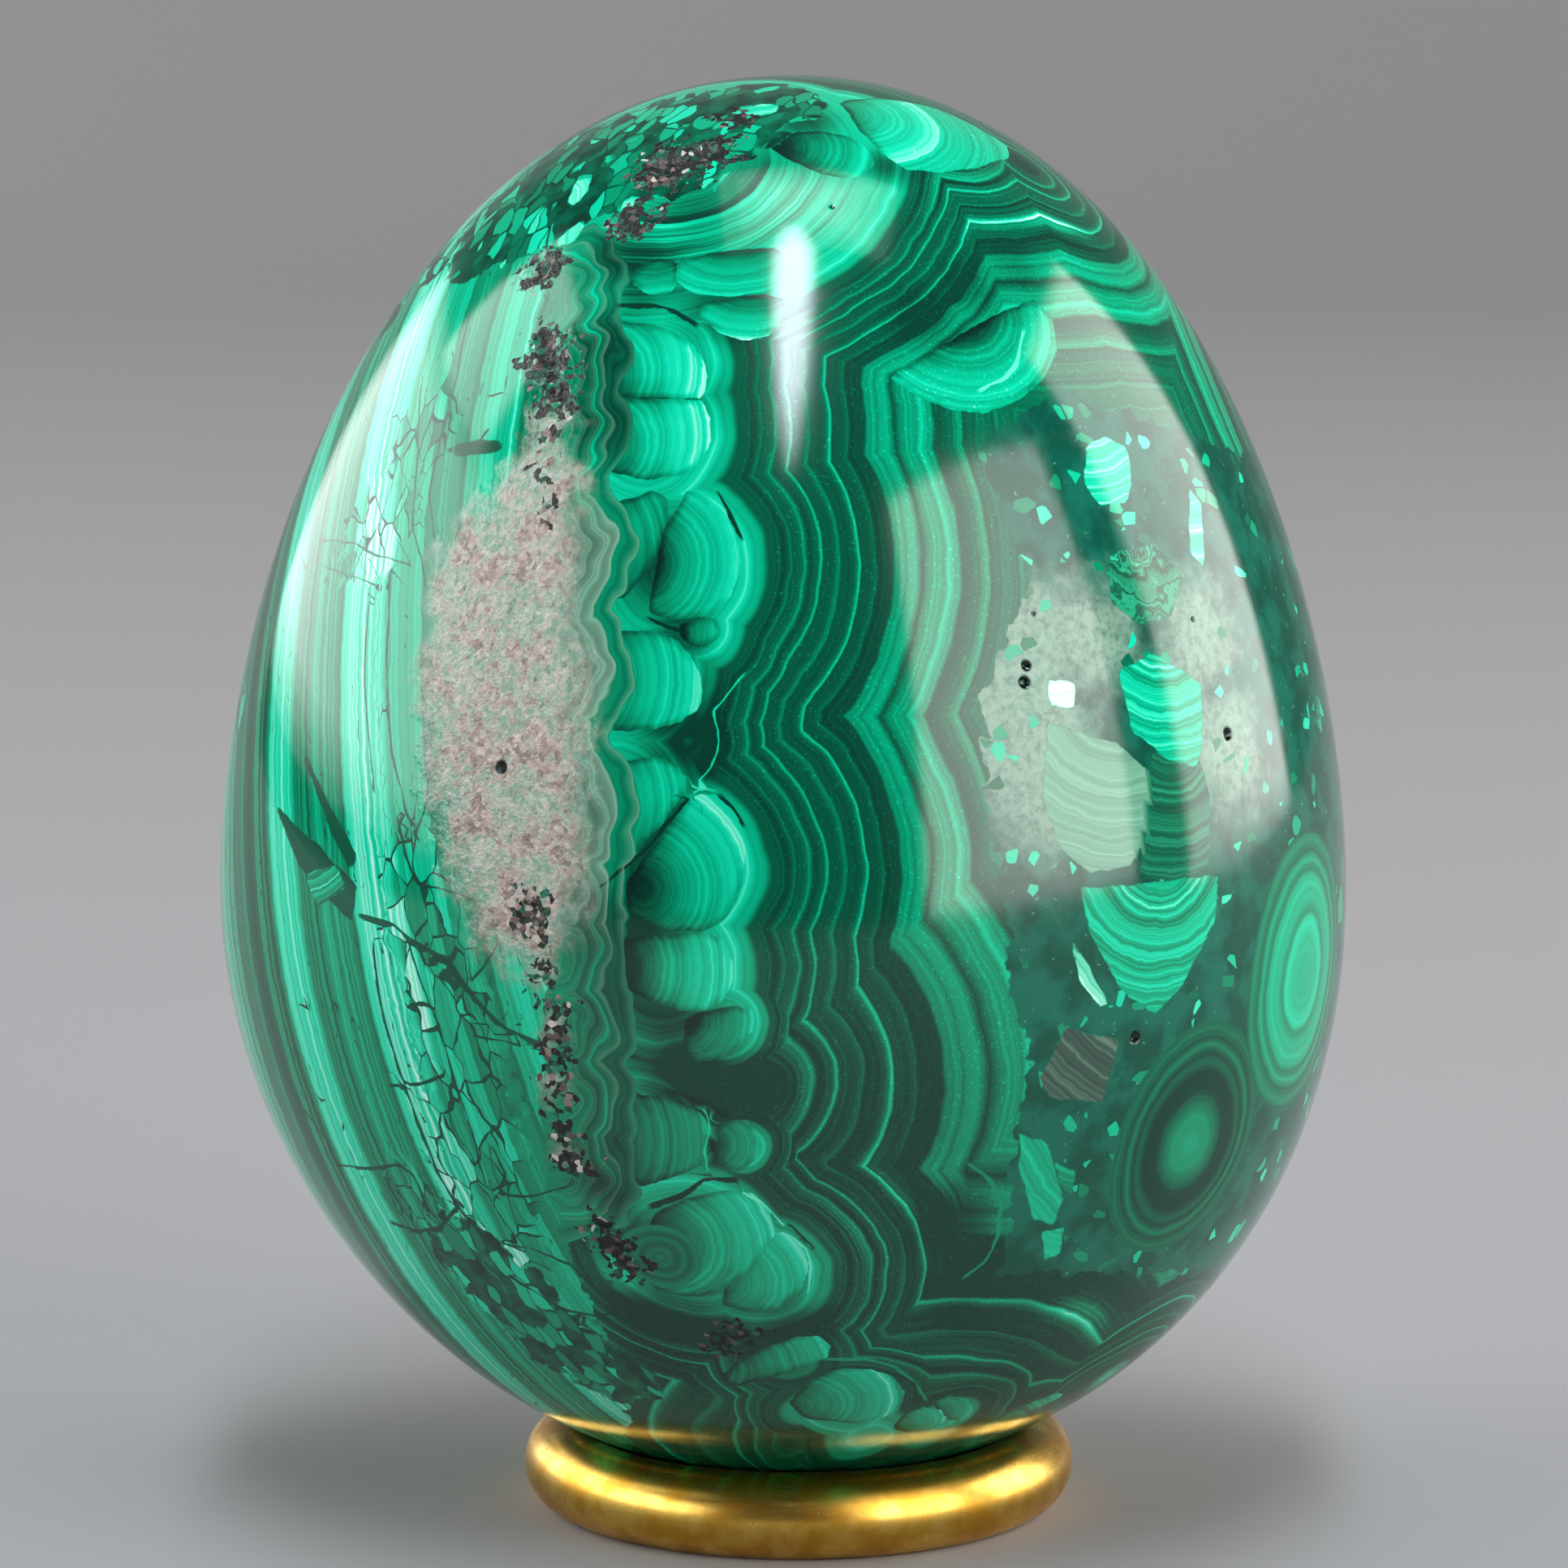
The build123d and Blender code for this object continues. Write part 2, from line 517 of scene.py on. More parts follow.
SHADES = (
    (-9.6, 23.5, 3.6, 0.26), (-9.6, 19.6, 3.6, 0.26), (-9.8, -8.0, 3.6, 0.22), (-9.6, -12.0, 3.6, 0.22),
    (-9.6, -16.0, 3.6, 0.20), (-9.6, -20.0, 3.6, 0.22), (-1.2, -16.5, 2.8, 0.24),
    (7.6, 25.2, 2.8, 0.20), (10.2, 26.8, 2.6, 0.20), (12.6, 27.8, 2.4, 0.16), (9.2, -23.4, 3.4, 0.34),
    (-6.5, 29.6, 4.5, 0.24), (-4.0, 31.4, 4.0, 0.22), (-8.8, 28.8, 3.0, 0.22), (-1.2, 33.2, 3.0, 0.20),
    (-8.0, -28.4, 3.0, 0.24), (10.5, -27.2, 3.8, 0.34), (14.0, -27.0, 3.8, 0.34),
    (16.8, -25.6, 2.6, 0.28), (-9.6, -22.2, 2.2, 0.30), (-4.6, -29.4, 3.0, 0.24),
    # The last two spots on the next line are painted shade that darkens the lower half, which the lamps
    # light less
    (-6.5, -31.0, 4.5, 0.18), (4.0, -20.0, 15.0, 0.10), (14.0, -30.0, 14.0, 0.10),
)
# Places where the bands stand out more, as seen: across, up, radius and strength
STRATA = (
    (10.5, 31.8, 5.4, 1.0), (14.8, 30.2, 4.0, 1.0), (-6.5, 29.6, 5.0, 1.6), (-0.5, 31.4, 5.0, 1.2),
    (-5.5, -30.6, 5.0, 0.7), (-10.6, 24.0, 4.0, 0.7), (-10.6, 19.0, 4.0, 0.6), (-9.6, -12.0, 4.0, 0.4),
    (-9.6, -18.0, 4.0, 0.5), (11.0, -29.6, 6.0, 1.0), (17.0, -28.0, 5.5, 1.0), (4.5, -23.5, 6.0, 0.8),
    (2.0, -16.0, 6.0, 0.6),
)
# Scallops along the seam: pale lines, where they are strong, where they start, and how grey they are
SCALLOP_PALE = linear(142, 190, 166)
SCALLOP_ZONE = (-12.0, 4.0, 13.0)
SCALLOP_FADE = 4.0
SCALLOP_LEFT = (-12.4, -11.6)
GREY_AGES = (3.9, 3.6)
GREY_SHARE = 0.65

# Slab of straight bands on the left: direction of its layers, right edge, span of its tones, and contrast
SLAB_AXIS = Vector((-0.8, 0.6, -0.25)).normalized()
SLAB_MIDDLE = Vector((0, 0, 38))
SLAB_EDGE = -13.0
SLAB_SPAN = 48.0
SLAB_START = -11.2
SLAB_CONTRAST = 0.50
# Heights between which the slab's edge shifts to the right, its bend at the back, and where that comes in
SLAB_HEIGHTS = (26.0, 8.0)
SLAB_FOOT_SHIFT = 4.0
SLAB_BEND_SCALE = 0.07
SLAB_BEND = 26.0
BACK_DEPTHS = (0.0, 16.0)
# Cracks and the dark rift at the slab's edge, and the shift and lightness of each block between the cracks
CRACK_TONE = 0.20
CRACK_WIDTH = 0.042
CRACKED_FADE = 1.2
RIFT_EDGES = (0.7, 0.4)
BLOCK_SHIFT = 1.2
BLOCK_LIGHT = 0.25
# Cells to the millimetre, across the layers and along them, for blocks, cracked parts and shards
BLOCK_CELLS = (0.62, 0.22, 0.22)
CRACK_CELLS = (0.85, 0.42, 0.42)
SHARD_CELLS = (1.3, 0.6, 0.6)
CELL_SHAKE = 1.2
# Chips: cells to the millimetre in front and behind, where the coarse ones start, and shares that show
CHIP_CELLS = (1.3, 0.55)
COARSE_FRONT = -7.0
CHIP_SHARE = 0.09
SHARD_SHARE = 0.50
# Tones of the slab by depth
SLAB_TONES = (
    (0.0, 0.45), (5.5, 0.45), (6.0, 0.72), (8.4, 0.68), (8.8, 0.46), (9.5, 0.55), (11.5, 0.62),
    (13.8, 0.66), (14.0, 0.90), (17.2, 0.87), (17.5, 0.50), (19.4, 0.56), (21.9, 0.46), (22.2, 0.86),
    (24.5, 0.84), (24.8, 0.46), (26.0, 0.40), (28.0, 0.32), (31.0, 0.60), (33.0, 0.74), (34.0, 0.50),
    (37.0, 0.66), (40.0, 0.40), (43.0, 0.70), (48.0, 0.45),
)

# Lobes as seen: the point that their bands curve about, how far from it the dark root ends and the pale rim
# lies, how much lighter they are, and their corners. Lobes that touch are in different sets
Lobe = namedtuple("Lobe", "pivot root rim light corners")
LOBES = (
    Lobe((-10.5, 22.3), 1.6, 6.45, 0.10, (
        (-10.0, 25.2), (-7.2, 24.9), (-5.8, 24.4), (-4.8, 23.7), (-4.2, 22.7), (-4.1, 21.7),
        (-4.35, 20.8), (-10.0, 20.8),
    )),
    Lobe((-7.6, 12.0), 0.9, 5.2, 0.0, (
        (-8.6, 10.0), (-6.6, 13.6), (-6.2, 15.6), (-5.4, 15.95), (-4.3, 15.7), (-3.4, 14.9),
        (-2.7, 13.7), (-2.3, 12.4), (-2.4, 11.2), (-3.0, 9.9), (-4.0, 9.1), (-6.0, 8.8), (-7.8, 9.3),
    )),
    Lobe((-11.8, 5.7), 1.6, 7.3, 0.0, (
        (-11.0, 8.0), (-8.8, 8.3), (-7.2, 8.3), (-6.0, 7.9), (-5.0, 7.0), (-4.5, 5.9), (-4.3, 4.9),
        (-4.6, 4.0), (-5.6, 3.3), (-6.8, 2.95), (-8.4, 2.8), (-11.0, 3.1),
    )),
    Lobe((-7.6, -5.6), 0.9, 5.9, 0.03, (
        (-8.6, -5.2), (-6.8, -2.9), (-5.4, -1.0), (-4.6, -0.5), (-3.7, -0.45), (-3.0, -0.9),
        (-2.4, -1.8), (-2.1, -3.0), (-2.15, -5.0), (-2.6, -6.6), (-3.5, -7.6), (-4.4, -8.0),
        (-6.4, -8.0), (-8.4, -7.2),
    )),
    Lobe((-5.2, -12.8), 0.4, 3.5, -0.12, (
        (-5.4, -12.6), (-4.2, -12.2), (-2.4, -12.0), (-1.5, -12.3), (-1.6, -13.2), (-2.3, -14.2),
        (-3.4, -14.9), (-4.6, -15.1), (-5.4, -14.6),
    )),
    Lobe((-6.8, -25.4), 1.2, 6.4, 0.0, (
        (-7.0, -23.2), (-5.2, -22.3), (-3.0, -21.9), (-1.6, -22.1), (-0.7, -23.2), (-0.4, -24.3),
        (-1.6, -26.2), (-3.6, -27.6), (-5.2, -27.8), (-7.0, -27.4), (-8.0, -25.4),
    )),
    Lobe((-2.8, 32.5), 1.8, 6.2, -0.10, (
        (-5.8, 28.4), (-4.6, 28.7), (-2.6, 28.9), (-0.6, 29.1), (0.6, 28.2), (0.2, 27.0), (-1.2, 26.6),
        (-3.0, 26.3), (-5.0, 26.5), (-5.9, 27.2),
    )),
    Lobe((3.4, 37.2), -0.2, 5.4, 0.05, (
        (2.9, 36.9), (5.0, 37.1), (8.0, 36.6), (10.3, 35.6), (12.1, 34.5), (12.2, 33.8), (10.5, 33.3),
        (8.5, 33.0), (6.6, 33.2), (5.4, 34.0), (4.0, 35.4),
    )),
    Lobe((9.8, 26.4), 1.9, 7.0, 0.0, (
        (5.6, 22.0), (7.2, 20.9), (9.0, 20.2), (10.8, 20.0), (12.6, 20.6), (14.0, 21.8), (14.8, 23.4),
        (14.6, 25.0), (13.6, 26.3), (11.5, 25.4), (9.0, 24.05), (7.0, 22.9),
    )),
    Lobe((0.6, -34.8), -0.2, 5.7, -0.04, (
        (0.2, -33.4), (1.4, -32.2), (3.0, -31.6), (4.6, -31.6), (5.9, -32.0), (6.6, -32.9),
        (6.2, -34.0), (4.0, -34.6), (1.0, -34.3),
    )),
    Lobe((5.4, -35.4), 0.0, 3.6, -0.02, (
        (5.8, -34.8), (6.4, -34.1), (7.4, -33.7), (8.5, -33.8), (8.9, -34.3), (8.2, -34.9),
        (6.6, -35.1),
    )),
)
TUCKED_LOBES = (
    Lobe((-10.3, 18.7), 1.5, 6.45, 0.10, (
        (-10.0, 20.8), (-4.4, 20.8), (-3.95, 19.8), (-3.9, 18.6), (-4.4, 17.4), (-5.4, 16.7),
        (-7.4, 16.4), (-10.0, 17.0),
    )),
    Lobe((-12.5, 12.6), 2.2, 8.0, -0.08, (
        (-11.0, 14.6), (-8.6, 15.4), (-7.2, 15.9), (-6.3, 15.6), (-6.25, 14.0), (-7.1, 11.8),
        (-8.5, 10.1), (-11.0, 9.6),
    )),
    Lobe((-6.0, 8.2), 0.6, 2.8, 0.0, (
        (-6.0, 8.5), (-4.6, 9.1), (-3.6, 8.9), (-3.3, 8.2), (-3.7, 7.6), (-4.6, 7.3), (-5.2, 7.5),
    )),
    Lobe((-12.0, -1.2), 1.8, 7.4, 0.0, (
        (-11.0, 1.0), (-9.0, 1.25), (-7.6, 1.65), (-6.5, 1.5), (-5.7, 0.9), (-5.2, 0.1), (-5.4, -0.5),
        (-6.5, -2.1), (-8.0, -3.8), (-9.4, -4.7), (-11.0, -5.0),
    )),
    Lobe((-9.4, -10.0), 1.7, 6.65, 0.02, (
        (-9.0, -8.4), (-6.4, -8.1), (-4.2, -7.9), (-3.2, -8.5), (-2.75, -9.5), (-2.75, -10.6),
        (-3.2, -11.6), (-4.1, -12.3), (-5.6, -12.3), (-7.2, -11.8), (-8.8, -11.0),
    )),
    Lobe((-12.0, -19.5), 1.8, 8.2, -0.20, (
        (-8.6, -16.6), (-6.4, -16.9), (-4.2, -17.9), (-3.9, -19.0), (-4.3, -20.6), (-6.0, -21.3),
        (-8.0, -21.9), (-9.0, -19.5),
    )),
    Lobe((-3.7, -19.5), 0.0, 2.4, -0.12, (
        (-4.0, -18.7), (-3.0, -18.1), (-1.9, -18.2), (-1.3, -19.2), (-1.4, -20.3), (-2.3, -21.0),
        (-3.5, -20.8), (-4.0, -19.8),
    )),
    Lobe((-3.4, -27.4), 0.0, 4.9, 0.0, (
        (-2.4, -25.4), (-0.8, -24.4), (0.2, -24.1), (1.0, -24.9), (1.4, -26.0), (1.0, -27.3),
        (-0.2, -28.3), (-1.8, -28.6), (-3.4, -28.2), (-3.2, -26.8),
    )),
    Lobe((-5.2, -33.0), 0.8, 8.0, -0.10, (
        (-3.6, -32.2), (-2.6, -31.2), (-1.2, -30.5), (0.6, -29.9), (1.9, -29.8), (2.6, -30.3),
        (2.4, -31.0), (1.0, -31.6), (-1.0, -32.2), (-2.6, -32.6),
    )),
    Lobe((7.4, -34.6), 0.0, 3.0, -0.10, (
        (8.0, -33.4), (9.0, -33.0), (10.0, -33.3), (10.3, -33.9), (9.6, -34.5), (8.4, -34.3),
    )),
    Lobe((11.0, -35.6), 0.0, 5.0, -0.06, (
        (12.6, -33.8), (13.6, -33.3), (14.8, -32.9), (15.2, -33.0), (14.2, -33.6), (13.2, -34.0),
    )),
    Lobe((-7.2, 31.5), 1.6, 5.0, -0.16, (
        (-8.2, 27.9), (-6.8, 28.4), (-5.8, 28.3), (-5.6, 27.2), (-6.2, 26.4), (-7.4, 26.4),
        (-8.2, 27.0),
    )),
    Lobe((-1.8, 29.5), 2.8, 5.5, 0.0, (
        (-4.8, 25.4), (-4.4, 26.1), (-2.6, 26.35), (-0.8, 26.5), (0.2, 26.2), (-0.2, 24.8),
        (-1.0, 24.1), (-2.2, 23.9), (-3.4, 24.3),
    )),
    Lobe((-0.4, 35.0), 0.9, 5.0, -0.10, (
        (-1.0, 34.7), (0.6, 35.3), (2.2, 35.3), (3.5, 35.0), (4.6, 34.3), (5.0, 33.6), (4.5, 32.9),
        (3.4, 32.7), (2.2, 32.9), (1.0, 33.4), (-0.3, 34.0),
    )),
)
# Tones of a lobe by share of the way from root to rim, its bands' contrast, and the painted shade in its
# crevices and along its edges
LOBE_SPAN = 1.25
LOBE_CONTRAST = 0.28
LOBE_CREVICE_SHADE = -0.20
LOBE_SHADOW = -0.16
LOBE_RAGGED_SCALE = 1.6
LOBE_TONES = (
    (0.0, 0.14), (0.12, 0.36), (0.30, 0.56), (0.60, 0.66), (0.82, 0.70), (0.91, 0.77), (0.96, 0.85),
    (1.00, 0.80), (1.04, 0.64), (1.25, 0.60),
)

# Veins and cracks as seen: half width, tone, and points in order
Vein = namedtuple("Vein", "width tone points")
VEINS = (
    # Pale lines between the lobes and along their rims
    Vein(0.07, 0.86, (
        (-2.4, 5.7), (-3.2, 4.7), (-3.9, 3.8), (-3.6, 3.0), (-3.55, 2.0), (-3.9, 1.0), (-4.4, 0.4),
    )),
    Vein(0.08, 0.88, ((-5.2, -0.6), (-4.4, -0.3), (-3.6, -0.4))),
    Vein(0.08, 0.78, ((-4.2, -17.9), (-4.0, -18.6), (-4.3, -19.6), (-4.2, -20.6))),
    Vein(0.16, 0.90, ((10.8, 21.4), (11.9, 21.9), (12.6, 22.8), (12.9, 24.2))),
    Vein(0.10, 0.93, (
        (-2.0, -22.2), (-1.2, -22.6), (-0.6, -23.3), (0.3, -24.2), (1.2, -25.2), (1.5, -26.2),
        (1.3, -27.2),
    )),
    # Outlines of the foot lobes
    Vein(0.14, 0.55, ((2.6, -31.1), (4.4, -31.05), (6.0, -31.5), (7.0, -32.3), (7.6, -33.2))),
    Vein(0.14, 0.50, (
        (10.2, -20.7), (11.2, -21.4), (11.8, -22.8), (11.6, -24.4), (10.9, -25.8), (10.0, -26.5),
    )),
    # Open crevices around the lobes, painted near-black as the shade inside them
    Vein(0.14, 0.02, ((-3.4, 15.4), (-2.9, 14.6), (-2.45, 13.6))),
    Vein(0.14, 0.02, ((-7.0, 8.8), (-6.3, 8.5), (-5.6, 8.3))),
    Vein(0.09, 0.04, ((-5.0, -0.6), (-6.2, -2.1), (-7.6, -3.7), (-8.8, -4.7), (-9.6, -5.3))),
    Vein(0.13, 0.02, ((-3.6, -0.6), (-2.9, -1.1), (-2.4, -1.9))),
    Vein(0.18, 0.05, ((-8.6, 25.9), (-7.2, 25.9), (-6.0, 25.6), (-5.0, 25.0))),
    Vein(0.24, 0.02, ((-6.0, -16.7), (-4.8, -17.1), (-3.3, -17.8))),
    Vein(0.22, 0.02, ((-6.9, -22.7), (-5.4, -22.2), (-4.3, -21.4), (-2.9, -21.4))),
    Vein(0.09, 0.05, ((-0.3, -23.3), (0.5, -24.0), (1.5, -25.0))),
    # Long cracks in the upper slab
    Vein(0.08, 0.22, ((-17.1, 25.0), (-17.7, 22.0), (-18.7, 18.0), (-19.2, 15.6), (-18.9, 13.2))),
    Vein(0.07, 0.24, ((-19.6, 21.7), (-19.8, 17.5), (-20.1, 13.8), (-19.6, 12.2), (-19.4, 11.0))),
    Vein(0.09, 0.14, (
        (-21.3, 11.1), (-21.4, 8.4), (-21.5, 5.6), (-21.2, 1.7), (-20.5, -1.3), (-19.9, -2.7),
    )),
    Vein(0.07, 0.20, ((-22.5, 9.3), (-22.7, 5.6), (-22.5, 2.9), (-22.2, 0.0))),
    Vein(0.08, 0.18, ((-19.0, 2.9), (-19.2, 0.2), (-19.5, -1.6), (-19.9, -2.7))),
    Vein(0.08, 0.20, ((-18.3, 2.9), (-18.1, -0.7), (-17.7, -2.8), (-17.0, -4.2))),
    Vein(0.06, 0.30, ((-24.6, 11.7), (-23.4, 11.2), (-22.2, 10.8))),
    Vein(0.07, 0.26, ((-25.0, 13.2), (-23.2, 13.0), (-21.9, 12.3), (-20.4, 11.9))),
    # Cracks in the lower slab
    Vein(0.22, 0.17, (
        (-22.7, -7.2), (-21.2, -7.6), (-20.3, -8.4), (-19.2, -9.0), (-18.0, -9.8), (-17.2, -11.0),
        (-16.4, -12.0), (-15.2, -13.2), (-13.4, -14.0), (-12.0, -13.8),
    )),
    Vein(0.10, 0.12, ((-16.4, -13.7), (-14.5, -14.1), (-13.0, -14.4))),
    Vein(0.08, 0.17, (
        (-20.3, -8.6), (-19.6, -10.8), (-18.7, -13.0), (-17.8, -16.0), (-16.8, -19.0), (-16.2, -21.5),
    )),
    Vein(0.13, 0.16, (
        (-22.2, -9.0), (-21.8, -12.0), (-20.8, -15.5), (-19.5, -19.0), (-18.5, -21.5), (-16.6, -24.2),
    )),
    Vein(0.11, 0.10, ((-21.0, -16.3), (-19.6, -16.2), (-18.6, -15.8))),
    Vein(0.16, 0.16, ((-24.2, -20.6), (-22.5, -20.8), (-20.8, -20.6), (-20.0, -21.2), (-19.3, -22.8))),
    Vein(0.18, 0.15, ((-21.0, -23.8), (-19.8, -24.2), (-18.6, -24.0), (-17.6, -22.8))),
    Vein(0.10, 0.16, ((-15.6, -20.0), (-15.0, -21.2), (-15.5, -22.2), (-13.5, -22.3), (-11.8, -21.8))),
    Vein(0.10, 0.14, ((-15.5, -24.8), (-13.5, -25.2), (-11.5, -26.0), (-10.0, -27.5), (-8.8, -28.0))),
    Vein(0.13, 0.14, ((-14.5, -26.8), (-12.0, -28.4), (-10.0, -28.8), (-8.5, -28.3))),
    Vein(0.08, 0.18, (
        (-18.2, -5.8), (-16.8, -6.2), (-15.8, -7.2), (-15.4, -8.6), (-16.3, -10.0), (-17.2, -11.0),
    )),
    Vein(0.10, 0.14, ((-20.8, -2.2), (-20.4, -4.0), (-19.8, -5.4), (-18.2, -5.8))),
    Vein(0.10, 0.20, ((-27.5, -14.5), (-26.0, -17.5), (-24.6, -19.4), (-24.2, -20.6))),
)
# Distance from a vein at which its line starts to fade out
VEIN_ROOM = 0.8

# Angular pieces set in the stone as seen: the point that their bands curve about, their tone, contrast and
# greyness, their corners, and how far their bands curl. Pieces that touch are in different sets
Fragment = namedtuple("Fragment", "pivot tone contrast grey corners curl", defaults=[0.5])
FRAGMENTS = (
    Fragment((15.0, 24.0), 0.80, 0.6, 0.0, (
        (16.3, 18.2), (17.2, 18.9), (18.6, 18.3), (18.9, 16.2), (18.4, 15.2), (17.0, 14.9),
        (16.2, 16.3),
    )),
    Fragment((19.4, 15.6), 0.42, 0.8, 0.1, (
        (17.5, 12.5), (20.0, 13.0), (21.5, 11.5), (21.0, 9.0), (19.0, 8.6), (17.6, 9.8),
    ), 4.0),
    Fragment((20.0, 24.0), 0.80, 0.4, 0.1, ((21.8, 16.2), (22.6, 15.2), (22.8, 11.5), (21.9, 12.5))),
    Fragment((20.6, 9.6), 0.68, 0.7, 0.0, (
        (18.0, 6.2), (20.0, 7.2), (22.6, 5.5), (22.7, 2.0), (22.3, 0.8), (20.5, 1.4), (18.8, 2.8),
    )),
    Fragment((20.4, -3.4), 0.62, 0.7, 0.0, (
        (16.0, -5.6), (23.6, -4.8), (23.3, -7.5), (21.5, -11.0), (20.0, -12.6), (18.2, -11.2),
        (16.4, -8.0),
    )),
    Fragment((15.0, 20.0), 0.97, 0.1, 0.4, ((14.2, 5.7), (15.8, 5.6), (15.7, 4.0), (14.2, 4.2))),
    Fragment((25.0, -5.0), 0.34, 0.5, 0.8, (
        (15.2, -13.1), (18.2, -13.8), (17.2, -17.3), (14.2, -17.0), (13.8, -15.8),
    )),
    Fragment((25.0, -14.0), 0.62, 0.4, 0.0, (
        (12.6, -18.8), (14.2, -19.2), (15.2, -22.4), (14.6, -24.0), (13.4, -23.6), (12.7, -21.2),
    )),
    Fragment((-20.0, 30.0), 0.88, 0.3, 0.0, (
        (-11.9, 31.4), (-11.2, 32.7), (-10.2, 32.9), (-10.6, 32.0), (-11.4, 31.2),
    )),
    Fragment((-20.0, 30.0), 0.86, 0.3, 0.0, (
        (-12.3, 29.4), (-11.0, 30.6), (-10.4, 30.6), (-11.4, 29.3), (-12.2, 29.0),
    )),
    Fragment((-10.0, 38.0), 0.86, 0.3, 0.0, (
        (-8.9, 31.0), (-8.5, 31.8), (-7.6, 31.8), (-7.6, 31.1), (-8.4, 30.7),
    )),
    Fragment((-10.0, 38.0), 0.78, 0.3, 0.0, ((-9.9, 33.6), (-9.5, 34.2), (-9.0, 34.0), (-9.2, 33.4))),
    Fragment((-1.0, 30.0), 0.84, 0.3, 0.0, ((-4.2, 32.0), (-3.1, 33.2), (-2.8, 33.1), (-3.8, 31.8))),
    Fragment((-2.0, 40.0), 0.80, 0.4, 0.0, (
        (-3.2, 36.1), (-1.2, 36.8), (-0.2, 36.8), (-0.2, 36.3), (-1.8, 36.0),
    )),
    Fragment((-10.0, 10.0), 0.24, 0.1, 0.0, (
        (-26.3, 2.4), (-25.6, 1.2), (-23.0, -3.8), (-23.4, -4.8), (-24.5, -2.6),
    )),
    Fragment((-30.0, 2.0), 0.60, 1.0, 0.0, (
        (-26.0, -4.9), (-24.2, -4.2), (-23.6, -5.6), (-25.2, -6.7),
    )),
    Fragment((-10.0, 40.0), 0.24, 0.1, 0.0, (
        (-18.6, 18.0), (-16.8, 18.7), (-14.8, 18.5), (-15.6, 17.9), (-17.4, 17.6),
    )),
)
UNDER_FRAGMENTS = (
    Fragment((20.6, 2.8), 0.36, 0.5, 0.1, (
        (19.8, 1.8), (22.4, 1.6), (23.1, -0.6), (23.0, -4.4), (21.4, -5.4), (19.2, -5.0),
    )),
    Fragment((18.6, 5.4), 0.66, 0.30, 0.6, (
        (14.2, 3.4), (16.0, 2.9), (18.2, 2.2), (19.8, 0.6), (19.7, -2.4), (18.8, -4.5), (16.6, -4.9),
        (14.7, -3.4), (13.9, -0.6),
    )),
    Fragment((25.0, -5.0), 0.82, 0.3, 0.2, (
        (15.2, -8.2), (15.9, -8.6), (17.6, -11.9), (17.2, -12.2), (16.0, -10.8),
    )),
    Fragment((20.0, -10.0), 0.50, 0.4, 0.0, (
        (14.5, -20.2), (15.8, -21.0), (15.6, -22.6), (14.8, -21.6),
    )),
    Fragment((20.0, -10.0), 0.66, 0.3, 0.0, (
        (13.8, -24.2), (15.2, -23.8), (15.0, -25.4), (14.1, -25.8),
    )),
    Fragment((-10.0, 10.0), 0.24, 0.1, 0.0, (
        (-27.5, -1.0), (-24.8, -3.6), (-23.0, -5.5), (-23.3, -7.6), (-26.2, -4.6),
    )),
)
# Farthest that a lobe or piece goes from its middle
PIECE_REACH = 9.0

# Ringed eyes: places as seen, squeeze of a ball along each axis, outer radius, and tones by radius
Eye = namedtuple("Eye", "centre squeeze radius rings")
EYES = (
    Eye(
        (22.0, -19.5), (1.0, 1.0, 0.82), 5.6,
        (
            (0.0, 0.54), (1.4, 0.48), (2.0, 0.32), (2.6, 0.12), (3.3, 0.10), (3.7, 0.30),
            (4.0, 0.18), (4.5, 0.38), (4.8, 0.22), (5.2, 0.36), (5.6, 0.26),
        ),
    ),
    Eye(
        (28.2, -10.2), (1.0, 1.0, 0.85), 6.4,
        (
            (0.0, 0.60), (1.6, 0.64), (2.4, 0.74), (2.7, 0.46), (3.2, 0.60), (4.2, 0.64),
            (4.5, 0.38), (5.0, 0.58), (5.4, 0.32), (5.9, 0.46), (6.4, 0.26),
        ),
    ),
    Eye(
        (-6.8, -25.6), (1.0, 1.0, 1.0), 2.2,
        (
            (0.0, 0.46), (0.3, 0.34), (0.6, 0.40), (0.9, 0.30), (1.3, 0.40), (1.6, 0.32), (2.0, 0.44),
            (2.2, 0.40),
        ),
    ),
)

